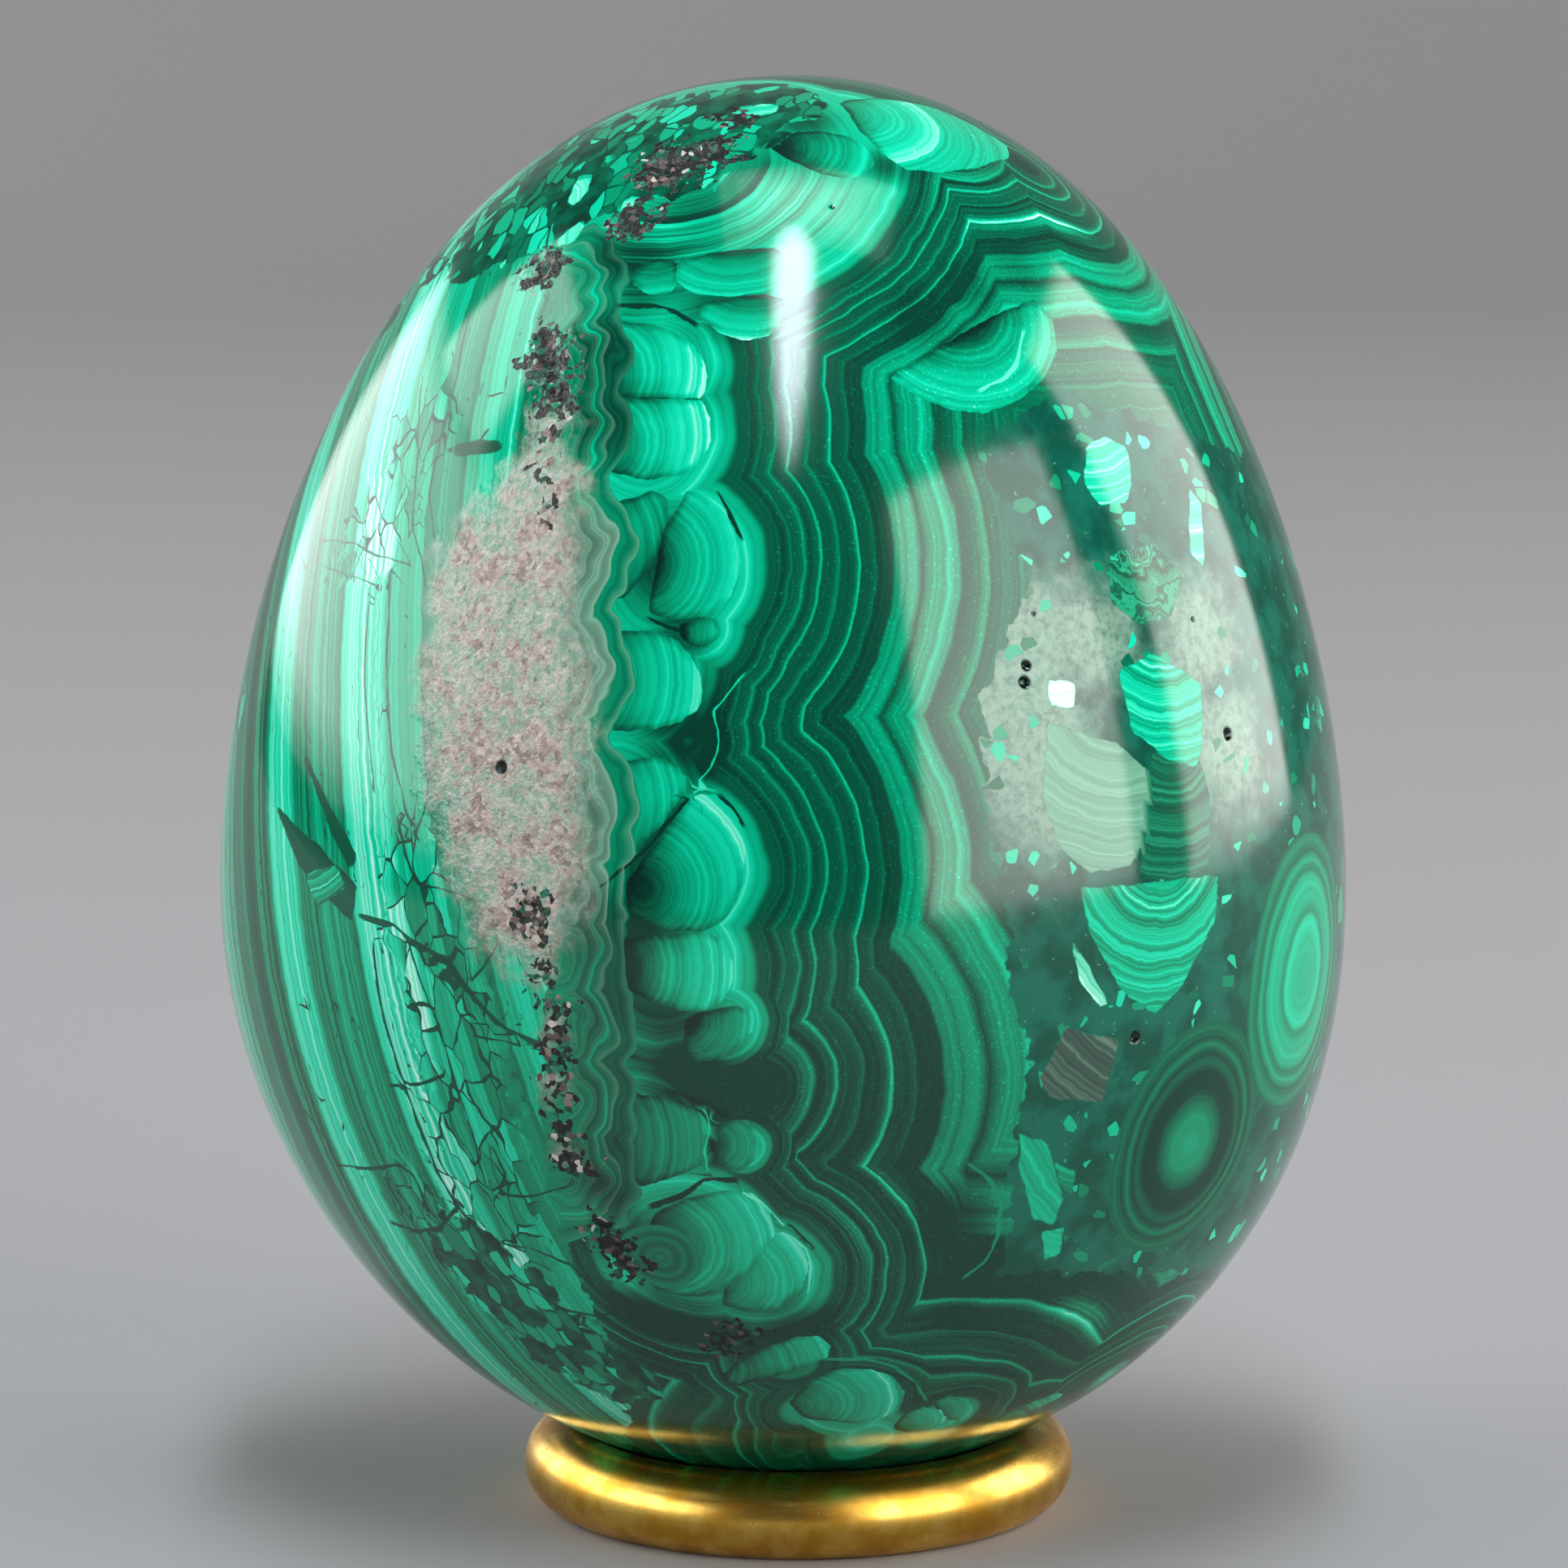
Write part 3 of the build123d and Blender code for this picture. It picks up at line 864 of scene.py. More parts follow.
# Zones as seen: across, up and radius of the balls that make each up
ZONES = {
    "seam": (
        (-13.4, 27.9, -0.6), (-13.0, 23.1, -0.5), (-12.7, 19.4, -0.3), (-13.0, 17.4, 0.2),
        (-13.4, 15.6, 1.2), (-15.3, 11.0, 3.2), (-15.5, 6.0, 3.6), (-15.3, 1.5, 3.5),
        (-14.8, -3.0, 2.7), (-14.2, -6.6, 1.7), (-13.1, -10.0, -0.6), (-12.5, -13.2, -0.9),
        (-12.3, -16.2, -0.9), (-11.7, -19.9, -1.0),
    ),
    "pocket": (
        (-6.3, 33.6, 1.9), (-4.0, 34.2, 1.5), (-2.8, 35.9, 1.0), (-8.3, 30.5, 1.2), (-13.2, 27.9, 1.1),
        (-12.7, 23.4, 1.3), (-12.4, 21.2, 1.3), (-12.6, 19.2, 0.3), (-12.9, 17.2, 0.2),
        (-12.6, 14.8, 0.1), (-13.8, -7.0, 0.8), (-13.1, -10.2, 0.4), (-12.6, -12.0, 0.6),
        (-12.3, -13.6, 0.6), (-12.2, -15.4, 0.8), (-12.0, -17.2, 0.5), (-11.7, -18.8, 0.7),
        (-11.4, -20.4, 0.8), (-9.8, -24.1, 0.8), (-9.2, -25.1, 0.8), (-8.5, -26.1, 0.8),
        (-3.3, -30.2, 0.7), (-2.0, -29.8, 0.6),
    ),
    "broken": (
        (-16.0, 29.5, 3.0), (-13.0, 31.0, 3.5), (-9.5, 32.8, 3.2), (-6.0, 33.8, 3.2), (-3.0, 35.5, 3.0),
        (-0.5, 36.8, 2.5), (-16.0, 30.8, 2.2), (-13.0, 33.2, 2.6), (-10.0, 35.0, 3.0),
        (-6.0, 36.4, 3.0), (-1.5, 37.3, 2.4), (-18.6, 28.4, 1.8), (-21.0, 25.6, 1.6),
        (-23.2, 22.6, 1.6), (-25.0, 19.4, 1.6), (-26.5, 16.0, 1.6), (-27.8, 12.2, 1.6),
        (-28.8, 8.2, 1.6), (-29.4, 4.2, 1.4), (-17.0, -25.5, 2.5), (-15.0, -27.5, 3.2),
        (-12.0, -30.2, 3.2), (-9.5, -32.0, 2.8),
    ),
    "sandy": (
        (12.8, 7.5, 1.8), (12.6, 3.5, 2.2), (13.6, 0.0, 1.4), (16.6, 8.0, 1.0), (22.6, 8.0, 1.0),
        (24.0, 2.0, 1.2),
    ),
    "cracked": (
        (-20.0, -4.5, 1.8), (-19.4, -8.0, 2.2), (-18.4, -11.5, 2.2), (-17.6, -15.0, 2.4),
        (-17.0, -18.5, 2.6), (-16.4, -22.0, 2.8), (-15.5, -25.0, 2.8), (-20.0, -22.5, 1.6),
        (-22.0, 14.0, 2.4), (-19.5, 19.0, 2.0),
    ),
}
# Open pores as seen: across, up and radius. They are carved in and painted near-black as the shade inside
# them
PORES = (
    (13.1, 6.4, 0.30), (13.0, 5.5, 0.34), (13.5, 9.2, 0.14), (24.0, 2.7, 0.36), (19.0, -13.7, 0.34),
    (-15.3, 0.9, 0.36), (22.1, 8.9, 0.14), (2.6, 31.2, 0.14),
)
# Left edge of the breccia as seen, as pairs of up and across, its foot, slanted top and reach to the back
BRECCIA_EDGE = (
    (-27.0, 11.5), (-25.0, 12.0), (-20.0, 12.2), (-15.0, 13.3), (-10.0, 12.2), (-6.0, 11.8),
    (0.0, 10.8), (5.0, 10.5), (8.0, 12.0), (11.0, 13.4), (15.0, 11.6), (18.0, 10.2), (19.5, 12.0),
    (21.0, 14.5),
)
BRECCIA_FOOT = -26.5
BRECCIA_TOP = 21.5
BRECCIA_TOP_SLANT = -0.35
BRECCIA_BACK = 8.0

# Pits left open in the polish as seen: across, up, radius and depth
PITS = (
    (-9.9, -24.1, 0.8, 0.45), (-9.2, -25.1, 0.8, 0.50), (-8.4, -26.1, 0.7, 0.40),
    (-13.0, 23.8, 0.8, 0.40), (-12.8, 22.2, 0.9, 0.45), (-12.2, 21.0, 0.7, 0.35),
    (-13.2, 27.9, 0.8, 0.35), (-6.3, 33.6, 1.1, 0.40), (-4.2, 34.2, 0.9, 0.35),
    (-13.8, -7.0, 0.7, 0.30), (-12.3, -15.5, 0.7, 0.30), (-11.6, -19.8, 0.7, 0.30),
    (-3.3, -30.0, 0.6, 0.25),
)
# Cuts of each quad at the pits, the margin round them that is cut too, and the scale of their unevenness
PIT_CUTS = 3
PIT_MARGIN = 0.4
PIT_NOISE_SCALE = 3.0


def carve_pits(mesh, layout):
    """Finer quads where the pits and pores are, pushed in unevenly."""
    spots = [(layout.seen(across, up), radius, depth) for across, up, radius, depth in PITS]
    spots += [(layout.seen(across, up), radius, radius) for across, up, radius in PORES]
    mesh.faces.ensure_lookup_table()
    edges = set()
    for centre, radius, _ in spots:
        for _, _, index, _ in layout.surface.find_nearest_range(centre * MM, (radius + PIT_MARGIN) * MM):
            edges.update(mesh.faces[index].edges)
    bmesh.ops.subdivide_edges(mesh, edges=list(edges), cuts=PIT_CUTS, use_grid_fill=True)
    for vertex in mesh.verts:
        place = vertex.co / MM
        for centre, radius, depth in spots:
            share = 1 - (place - centre).length_squared / radius**2
            if share > 0:
                uneven = 0.8 + 0.5 * noise.noise(place * PIT_NOISE_SCALE)
                vertex.co -= layout.facing(place) * (depth * share * uneven * MM)
    bmesh.ops.recalc_face_normals(mesh, faces=mesh.faces[:])


class StoneFields:
    """Distances that the stone's pattern needs, kept as attributes of the mesh."""

    def __init__(self, data, layout):
        self.data = data
        self.layout = layout
        places = numpy.empty(len(data.vertices) * 3)
        data.vertices.foreach_get("co", places)
        self.places = places.reshape(-1, 3) / MM
        right, rise, back = [numpy.array(axis) for axis in view_axes()]
        from_eye = self.places - numpy.array(VIEW_TARGET / MM) - back * (VIEW_DISTANCE / MM)
        scale = VIEW_DISTANCE / MM / -(from_eye @ back)
        self.across = from_eye @ right * scale
        self.up = from_eye @ rise * scale

    def keep(self, name, values):
        self.data.attributes.new(name, "FLOAT", "POINT").data.foreach_set("value", values)

    def reach(self, centre):
        return numpy.linalg.norm(self.places - numpy.array(centre), axis=1)

    def keep_zones(self):
        """Distance outside the balls of each zone, negative inside."""
        for name, balls in ZONES.items():
            distances = [self.reach(self.layout.seen(across, up)) - radius for across, up, radius in balls]
            self.keep(name, numpy.min(distances, axis=0))

    def keep_shades(self, name, spots):
        """Sum of soft round spots of tone."""
        depths = numpy.zeros(len(self.places))
        for across, up, radius, depth in spots:
            share = numpy.clip(1 - self.reach(self.layout.seen(across, up)) / radius, 0, 1)
            depths += depth * share * share * (3 - 2 * share)
        self.keep(name, depths)

    def keep_breccia(self):
        """Distance inside the breccia, negative outside it."""
        ups, edges = zip(*BRECCIA_EDGE)
        edge = numpy.interp(self.up, ups, edges)
        top = BRECCIA_TOP + BRECCIA_TOP_SLANT * (self.across - edges[-1])
        behind = BRECCIA_BACK - self.places[:, 1]
        sides = (self.across - edge, self.up - BRECCIA_FOOT, top - self.up, behind)
        self.keep("breccia", numpy.min(sides, axis=0))

    def polygon_depth(self, corners):
        """Distance inside a convex piece, negative outside it."""
        points = [self.layout.seen(*corner) for corner in corners]
        middle = sum(points, Vector()) / len(points)
        outwards = self.layout.facing(middle)
        depth = PIECE_REACH - self.reach(middle)
        for start, end in zip(points, points[1:] + points[:1]):
            inwards = outwards.cross(end - start).normalized()
            if inwards.dot(middle - start) < 0:
                inwards.negate()
            depth = numpy.minimum(depth, self.places @ numpy.array(inwards) - inwards.dot(start))
        return depth

    def keep_pieces(self, prefix, pieces, fields):
        """Depth in the nearest piece of a set, how far its pivot is, and that piece's own values."""
        depths = numpy.array([self.polygon_depth(piece.corners) for piece in pieces])
        nearest = depths.argmax(axis=0)
        pivots = [self.layout.beside(piece.corners, piece.pivot) for piece in pieces]
        reaches = numpy.array([self.reach(pivot) for pivot in pivots])
        everywhere = numpy.arange(len(nearest))
        self.keep(prefix + "_depth", depths[nearest, everywhere])
        self.keep(prefix + "_reach", reaches[nearest, everywhere])
        for field in fields:
            values = numpy.array([getattr(piece, field) for piece in pieces])
            self.keep(prefix + "_" + field, values[nearest])

    def keep_veins(self):
        """Distance to one side of the nearest vein, how far past its end, and its width and tone."""
        count = len(self.places)
        nearest = numpy.full(count, numpy.inf)
        side, past, width, tone = (numpy.zeros(count) for _ in range(4))
        for vein in VEINS:
            points = [self.layout.seen(*point) for point in vein.points]
            for start, end in zip(points, points[1:]):
                along = (end - start).normalized()
                across = self.layout.facing((start + end) / 2).cross(along).normalized()
                offset = self.places - numpy.array(start)
                run = offset @ numpy.array(along)
                beyond = numpy.maximum(-run, run - (end - start).length).clip(0)
                aside = offset @ numpy.array(across)
                reach = numpy.hypot(beyond, numpy.linalg.norm(offset - numpy.outer(run, along), axis=1))
                closer = reach < nearest
                nearest[closer] = reach[closer]
                side[closer] = aside[closer]
                past[closer] = (beyond + 2 * (reach - VEIN_ROOM).clip(0))[closer]
                width[closer] = vein.width
                tone[closer] = vein.tone
        for name, values in (("side", side), ("past", past), ("width", width), ("tone", tone)):
            self.keep("vein_" + name, values)

    def keep_all(self):
        self.keep_veins()
        self.keep_zones()
        for name, spots in (("hollow", HOLLOWS), ("shade", SHADES), ("strata", STRATA)):
            self.keep_shades(name, spots)
        self.keep_breccia()
        for prefix, lobes in (("lobe", LOBES), ("tucked", TUCKED_LOBES)):
            self.keep_pieces(prefix, lobes, ("root", "rim", "light"))
        for prefix, fragments in (("piece", FRAGMENTS), ("under", UNDER_FRAGMENTS)):
            self.keep_pieces(prefix, fragments, ("tone", "contrast", "grey", "curl"))


# Malachite shader


def line_stops(lines):
    """Ramp stops for thin lines that fade on their older side."""
    stops = [(0.0, 0.0)]
    for age, width, strength in lines:
        stops += [(age - LINE_HALO, 0.0), (age - width, LINE_SHOULDER * strength)]
        stops += [(age, strength), (age + width, 0.0)]
    return stops


class Stone:
    """Polished malachite, built up from its banded growth to the zones that lie over it."""

    def __init__(self, layout):
        self.material = bpy.data.materials.new("polished_malachite")
        self.layout = layout
        self.nodes = nodes = Nodes(self.material)
        self.place = nodes.place()
        self.x, self.y, self.z = nodes.split(self.place)
        self.ripple = nodes.stray(self.place, RIPPLE_SCALE)
        drifted = nodes.moved(self.place, nodes.stray(self.place, DRIFT_SCALE), DRIFT_REACH)
        self.warped = nodes.moved(drifted, self.ripple, RIPPLE_REACH)
        self.ragged = nodes.uneven(self.place, RAGGED_SCALE, 3.0)

    def uneven_reach(self, name, wander):
        """Distance that the mesh keeps under a name, made to wander."""
        return self.nodes.times_plus(self.ragged, wander, self.nodes.attribute(name))

    def zone(self, name, wander, soft=0.2):
        return self.nodes.step(self.uneven_reach(name, wander), soft, 0.0)

    def nearest_seed(self, seeds):
        """Age of the growth front at each place."""
        nodes = self.nodes
        arrivals = []
        for centre, age, slowness in seeds:
            reach = nodes.vector("DISTANCE", self.warped, centre)
            arrivals.append(nodes.times_plus(reach, slowness, age))
        return reduce(nodes.smaller, arrivals)

    def foot_waves(self):
        """How far the scalloped layers low on the stone run ahead, in age."""
        nodes = self.nodes
        x, y, z = nodes.split(self.warped)
        wave = nodes.math("SINE", nodes.times_plus(nodes.turn(x, y), FOOT_WAVES, FOOT_WAVE_START))
        right = nodes.step(x, *FOOT_WAVE_SIDE, 0.0, FOOT_WAVE_RISE)
        low = nodes.times(nodes.step(z, *FOOT_WAVE_HEIGHTS), right)
        return nodes.times(nodes.math("ABSOLUTE", wave), low)

    def front_ages(self):
        """Age of the growth of the lobes, and of the scallops along the seam."""
        nodes = self.nodes
        seen, around = self.layout.seen, self.layout.around
        lobes = [(seen(a, u), age, slow) for a, u, age, slow in LOBE_SEEDS + CROWN_SEEDS]
        lobes += [(around(a, h), age, slow) for a, h, age, slow in BACK_SEEDS]
        lobe_age = nodes.minus(self.nearest_seed(lobes), self.foot_waves())
        scallops = [(seen(a, u), age, SEAM_SLOWNESS) for a, u, age in SEAM_SEEDS]
        wobble = nodes.uneven(self.place, SCALLOP_WOBBLE_SCALE, 0.0)
        return lobe_age, nodes.times_plus(wobble, SCALLOP_WOBBLE, self.nearest_seed(scallops))

    def add_growth(self):
        """Banded growth with its lobes, and the grey and age of the scallops along the seam."""
        nodes = self.nodes
        lobe_age, self.seam_age = self.front_ages()
        clear = nodes.step(self.seam_age, SCALLOP_END - 0.05, SCALLOP_END + 0.05)
        raw_age = nodes.mix_value(clear, self.seam_age, lobe_age)
        age = nodes.mix_value(clear, self.seam_age, nodes.larger(lobe_age, LOBE_CORE_AGE))
        tone = nodes.ramp(age, GROWTH_TONES, GROWTH_SPAN)
        for lines in (EARLY_LINES, LATE_LINES):
            tone = nodes.plus(tone, nodes.ramp(age, line_stops(lines), GROWTH_SPAN))
        strata = nodes.attribute("strata")
        broad = nodes.times_plus(nodes.layers(raw_age, STRATA_SCALE, 1.0), STRATA_SWING, STRATA_DIP)
        tone = nodes.times_plus(strata, broad, tone)
        contrast = nodes.ramp(age, GROWTH_CONTRAST, GROWTH_SPAN)
        contrast = nodes.times_plus(strata, STRATA_CONTRAST, contrast)
        tone = nodes.times_plus(nodes.bands(raw_age, 1.3, 4.2, 3.0), contrast, tone)
        # Darker spots of the bands, and painted shade over the lower half
        tone = nodes.minus(tone, nodes.attribute("shade"))
        tone = nodes.minus(tone, nodes.times(nodes.attribute("hollow"), clear))
        self.tone = nodes.larger(tone, DARKEST_TONE)
        ragged = nodes.uneven(self.place, LOBE_RAGGED_SCALE, 1.0)
        for prefix in ("tucked", "lobe"):
            self.add_lobes(prefix, clear, ragged)
        dust = nodes.step(nodes.noise(self.place, DUST_SCALE, 1.0), 0.60, 0.74)
        late = nodes.times(nodes.step(age, *DUST_AGES), dust)
        self.tone = nodes.times_plus(late, DUST_LIGHT, self.tone)
        across, up, radius = SCALLOP_ZONE
        reach = nodes.vector("DISTANCE", self.place, self.layout.seen(across, up))
        self.near_seam = nodes.step(reach, radius, radius - SCALLOP_FADE)
        self.grey = nodes.times(nodes.step(age, *GREY_AGES, 0.0, GREY_SHARE), self.near_seam)

    def add_lobes(self, prefix, clear, ragged):
        """One set of lobes, each with a dark root, fine bands, a pale rim and painted shade along its other
        edges.
        """
        nodes = self.nodes
        depth = nodes.times_plus(ragged, 0.25, nodes.attribute(prefix + "_depth"))
        reach = nodes.times_plus(ragged, 0.20, nodes.attribute(prefix + "_reach"))
        root = nodes.attribute(prefix + "_root")
        length = nodes.minus(nodes.attribute(prefix + "_rim"), root)
        share = nodes.math("DIVIDE", nodes.minus(reach, root), length)
        lobe = nodes.plus(nodes.ramp(share, LOBE_TONES, LOBE_SPAN), nodes.attribute(prefix + "_light"))
        lobe = nodes.times_plus(nodes.bands(reach, 1.4, 4.5, 2.0), LOBE_CONTRAST, lobe)
        # Painted shade: darker near the lobe's edges, narrow in its crevices and broader beside them, but
        # not at its rim
        crevice_shade = nodes.times(nodes.step(depth, 0.45, 0.0), nodes.step(share, 0.96, 0.80))
        lobe = nodes.times_plus(crevice_shade, LOBE_CREVICE_SHADE, lobe)
        shadow = nodes.times(nodes.step(depth, 1.5, 0.0), nodes.step(share, 0.80, 0.45))
        lobe = nodes.times_plus(shadow, LOBE_SHADOW, lobe)
        mask = nodes.times(nodes.step(depth, 0.0, 0.07), clear)
        self.tone = nodes.mix_value(mask, self.tone, lobe)

    def find_zones(self):
        """Slab on the left, breccia on the right, and the broken and cracked parts."""
        nodes = self.nodes
        edge = nodes.step(self.z, *SLAB_HEIGHTS, SLAB_EDGE, SLAB_EDGE + SLAB_FOOT_SHIFT)
        edge = nodes.times_plus(self.ragged, 2.0, edge)
        self.behind = nodes.step(self.y, *BACK_DEPTHS)
        bend = nodes.times(nodes.uneven(self.place, SLAB_BEND_SCALE, 1.0), self.behind)
        self.slab_depth = nodes.minus(nodes.times_plus(bend, SLAB_BEND, edge), self.x)
        self.slab = nodes.step(self.slab_depth, 0.0, 0.1)
        self.broken = self.zone("broken", 2.5)
        self.matrix = nodes.step(self.uneven_reach("breccia", 2.0), 0.0, 0.15)
        self.crack_reach = self.uneven_reach("cracked", 5.0)
        self.cracked = nodes.step(self.crack_reach, CRACKED_FADE, 0.0)

    def split_cells(self):
        """One net of cells for the slab's blocks, the shards and the chips, with its edges and chances."""
        nodes = self.nodes
        along = SLAB_AXIS.orthogonal().normalized()
        centred = nodes.vector("SUBTRACT", self.place, SLAB_MIDDLE)
        axes = (SLAB_AXIS, along, SLAB_AXIS.cross(along))
        parts = [nodes.vector("DOT_PRODUCT", centred, axis) for axis in axes]
        self.layer_depth = parts[0]
        shaken = nodes.moved(nodes.join(*parts), self.ripple, CELL_SHAKE)
        blocks, cracks, shards = [
            nodes.vector("MULTIPLY", shaken, scales) for scales in (BLOCK_CELLS, CRACK_CELLS, SHARD_CELLS)
        ]
        coarse = nodes.above(nodes.times_plus(self.ragged, 14.0, self.y), COARSE_FRONT)
        chips = nodes.vector("SCALE", self.warped, Scale=nodes.mix_value(coarse, *CHIP_CELLS))
        blocks = nodes.mix_vector(nodes.below(self.crack_reach, CRACKED_FADE), blocks, cracks)
        net = nodes.mix_vector(self.broken, nodes.mix_vector(self.slab, chips, blocks), shards)
        self.chance = nodes.chances(net, 1.0)
        self.cell_edge = nodes.cells(net, 1.0, "DISTANCE_TO_EDGE", "Distance")
        self.chip_edge = nodes.step(self.cell_edge, 0.03, 0.08)
        self.chip_tone = nodes.times_plus(self.chance[1], 0.50, 0.34)

    def add_fragments(self, prefix):
        """One set of angular pieces, and the mask of the set."""
        nodes = self.nodes
        mask = nodes.step(self.uneven_reach(prefix + "_depth", 0.5), 0.0, 0.12)
        curled = nodes.times(self.ragged, nodes.attribute(prefix + "_curl"))
        reach = nodes.plus(curled, nodes.attribute(prefix + "_reach"))
        bands = nodes.times(nodes.bands(reach, 1.3, 4.0, 2.0), nodes.attribute(prefix + "_contrast"))
        bands = nodes.plus(bands, nodes.attribute(prefix + "_tone"))
        self.tone = nodes.mix_value(mask, self.tone, bands)
        self.grey = nodes.mix_value(mask, self.grey, nodes.attribute(prefix + "_grey"))
        return mask

    def add_eyes(self):
        """Round ringed eyes."""
        nodes = self.nodes
        for eye in EYES:
            offset = nodes.vector("SUBTRACT", self.warped, self.layout.seen(*eye.centre))
            reach = nodes.vector("LENGTH", nodes.vector("MULTIPLY", offset, eye.squeeze))
            fine = nodes.times_plus(nodes.layers(reach, 3.5, 3.0, 0.6), 0.20, -0.10)
            ringed = nodes.plus(nodes.ramp(reach, eye.rings, eye.radius), fine)
            mask = nodes.step(reach, eye.radius, eye.radius - 0.1)
            self.tone = nodes.mix_value(mask, self.tone, ringed)
            self.covered = nodes.larger(self.covered, mask)

    def add_breccia(self):
        """Chips, fragments and eyes in the breccia."""
        nodes = self.nodes
        chip = nodes.times(nodes.below(self.chance[0], CHIP_SHARE), self.chip_edge)
        self.tone = nodes.mix_value(nodes.times(chip, self.matrix), self.tone, self.chip_tone)
        self.matrix = nodes.times(self.matrix, nodes.outside(chip))
        under = self.add_fragments("under")
        self.covered = nodes.larger(self.add_fragments("piece"), under)
        self.add_eyes()
        self.matrix = nodes.times(self.matrix, nodes.outside(self.covered))

    def add_slab(self):
        """Straight bands on the left, in blocks that have shifted a little, with cracks and a dark rift."""
        nodes = self.nodes
        block = nodes.times(nodes.minus(self.chance[2], 0.5), self.cracked)
        depth = nodes.times_plus(self.ragged, 0.4, self.layer_depth)
        depth = nodes.times_plus(block, BLOCK_SHIFT, depth)
        tone = nodes.ramp(nodes.minus(depth, SLAB_START), SLAB_TONES, SLAB_SPAN)
        tone = nodes.times_plus(nodes.bands(depth, 0.9, 3.6, 3.0, 1.08), SLAB_CONTRAST, tone)
        tone = nodes.times_plus(block, BLOCK_LIGHT, tone)
        width = nodes.step(self.ragged, -0.05, 0.2, -0.02, 0.02)
        width = nodes.times_plus(self.cracked, CRACK_WIDTH, width)
        tone = nodes.mix_value(nodes.below(self.cell_edge, width), tone, CRACK_TONE)
        self.slab = nodes.times(self.slab, nodes.outside(self.covered))
        tone = nodes.mix_value(self.slab, self.tone, tone)
        rift = nodes.step(nodes.math("ABSOLUTE", self.slab_depth), *RIFT_EDGES)
        self.tone = nodes.mix_value(nodes.times(rift, self.behind), tone, CRACK_TONE)

    def add_broken_zones(self):
        """Shards in dark ground at the crown, the left rim and the foot."""
        nodes = self.nodes
        shard = nodes.times(nodes.below(self.chance[0], SHARD_SHARE), self.chip_edge)
        ground = nodes.times_plus(self.ragged, 0.8, 0.24)
        self.broken = nodes.times(self.broken, nodes.outside(self.covered))
        self.tone = nodes.mix_value(self.broken, self.tone, nodes.mix_value(shard, ground, self.chip_tone))

    def add_veins(self):
        """Veins and cracks, uneven in width."""
        nodes = self.nodes
        side = nodes.math("ABSOLUTE", self.uneven_reach("vein_side", 0.30))
        width = nodes.times(nodes.times_plus(self.ragged, 2.0, 0.55), nodes.attribute("vein_width"))
        line = nodes.step(nodes.minus(side, width), 0.05, -0.02)
        line = nodes.times(line, nodes.step(nodes.attribute("vein_past"), 0.6, 0.2, 0.0, 0.9))
        self.tone = nodes.mix_value(line, self.tone, nodes.attribute("vein_tone"))

    def tint(self):
        """Colour by tone, and the grains, patches and crystals that colour the other zones."""
        nodes = self.nodes
        self.plain = nodes.outside(nodes.larger(self.slab, self.broken))
        grey = nodes.times(self.grey, self.plain)
        self.colour = nodes.mix(grey, nodes.ramp(self.tone, TONES), nodes.ramp(self.tone, GREYS))
        self.grain = nodes.noise(self.place, GRAIN_SCALE, 4.0, 0.7)
        self.patch = nodes.step(nodes.noise(self.place, PATCH_SCALE, 3.0), 0.40, 0.60)
        self.crystal = nodes.chances(nodes.moved(self.place, self.ripple, 0.5), CRYSTAL_SCALE)

    def colour_matrix(self):
        """Teal ground of the breccia, with pale sandy parts."""
        nodes = self.nodes
        sandy = nodes.times(self.zone("sandy", 4.0, 3.5), nodes.step(self.grain, 0.30, 0.60, 0.35, 0.85))
        ground = nodes.mix(self.patch, MATRIX_TEAL, MATRIX_DEEP)
        ground = nodes.mix(nodes.step(self.grain, 0.64, 0.70, 0.0, 0.7), ground, MATRIX_SPECK)
        ground = nodes.mix(sandy, ground, MATRIX_PALE)
        self.colour = nodes.mix(nodes.times(self.matrix, self.plain), self.colour, ground)

    def colour_seam(self):
        """Pink and green crystals of the seam, and the pale lines of the scallops beside it."""
        nodes = self.nodes
        self.seam = self.zone("seam", 3.4, 2.4)
        kind = nodes.plus(nodes.times(self.crystal[0], 0.6), nodes.times(self.patch, 0.4))
        druse = nodes.ramp(kind, DRUSE_GRAINS, interpolation="CONSTANT")
        druse = nodes.mix(0.35, druse, nodes.mix(self.patch, DRUSE_PINK, DRUSE_GREEN))
        druse = nodes.mix(nodes.step(self.grain, 0.50, 0.72, 0.0, 0.7), druse, DRUSE_PALE)
        druse = nodes.mix(nodes.step(self.grain, 0.44, 0.30, 0.0, 0.7), druse, DRUSE_DARK)
        colour = nodes.mix(self.seam, self.colour, druse)
        lines = nodes.ramp(self.seam_age, line_stops(SCALLOP_LINES), SCALLOP_END)
        lines = nodes.times(lines, nodes.step(self.x, *SCALLOP_LEFT))
        faded = nodes.times_plus(self.near_seam, 0.7, 0.3)
        lines = nodes.times(lines, nodes.times(faded, nodes.outside(self.broken)))
        self.colour = nodes.mix(lines, colour, SCALLOP_PALE)

    def colour_pockets(self):
        """Dark crumbling pockets, and open pores painted near-black as the shade inside them."""
        nodes = self.nodes
        loose = nodes.minus(self.crystal[2], 0.5)
        crumbled = nodes.times_plus(loose, 1.5, self.uneven_reach("pocket", 3.0))
        self.pocket = nodes.step(crumbled, 0.1, 0.0)
        grains = nodes.ramp(self.crystal[1], POCKET_GRAINS, interpolation="CONSTANT")
        colour = nodes.mix(self.pocket, self.colour, grains)
        # Painted shade inside the open pores: near-black where they are
        reaches = []
        for across, up, radius in PORES:
            reach = nodes.vector("DISTANCE", self.place, self.layout.seen(across, up))
            reaches.append(nodes.minus(reach, radius))
        pore_shade = nodes.step(reduce(nodes.smaller, reaches), 0.05, -0.05)
        self.colour = nodes.mix(pore_shade, colour, PORE_SHADE_COLOUR)

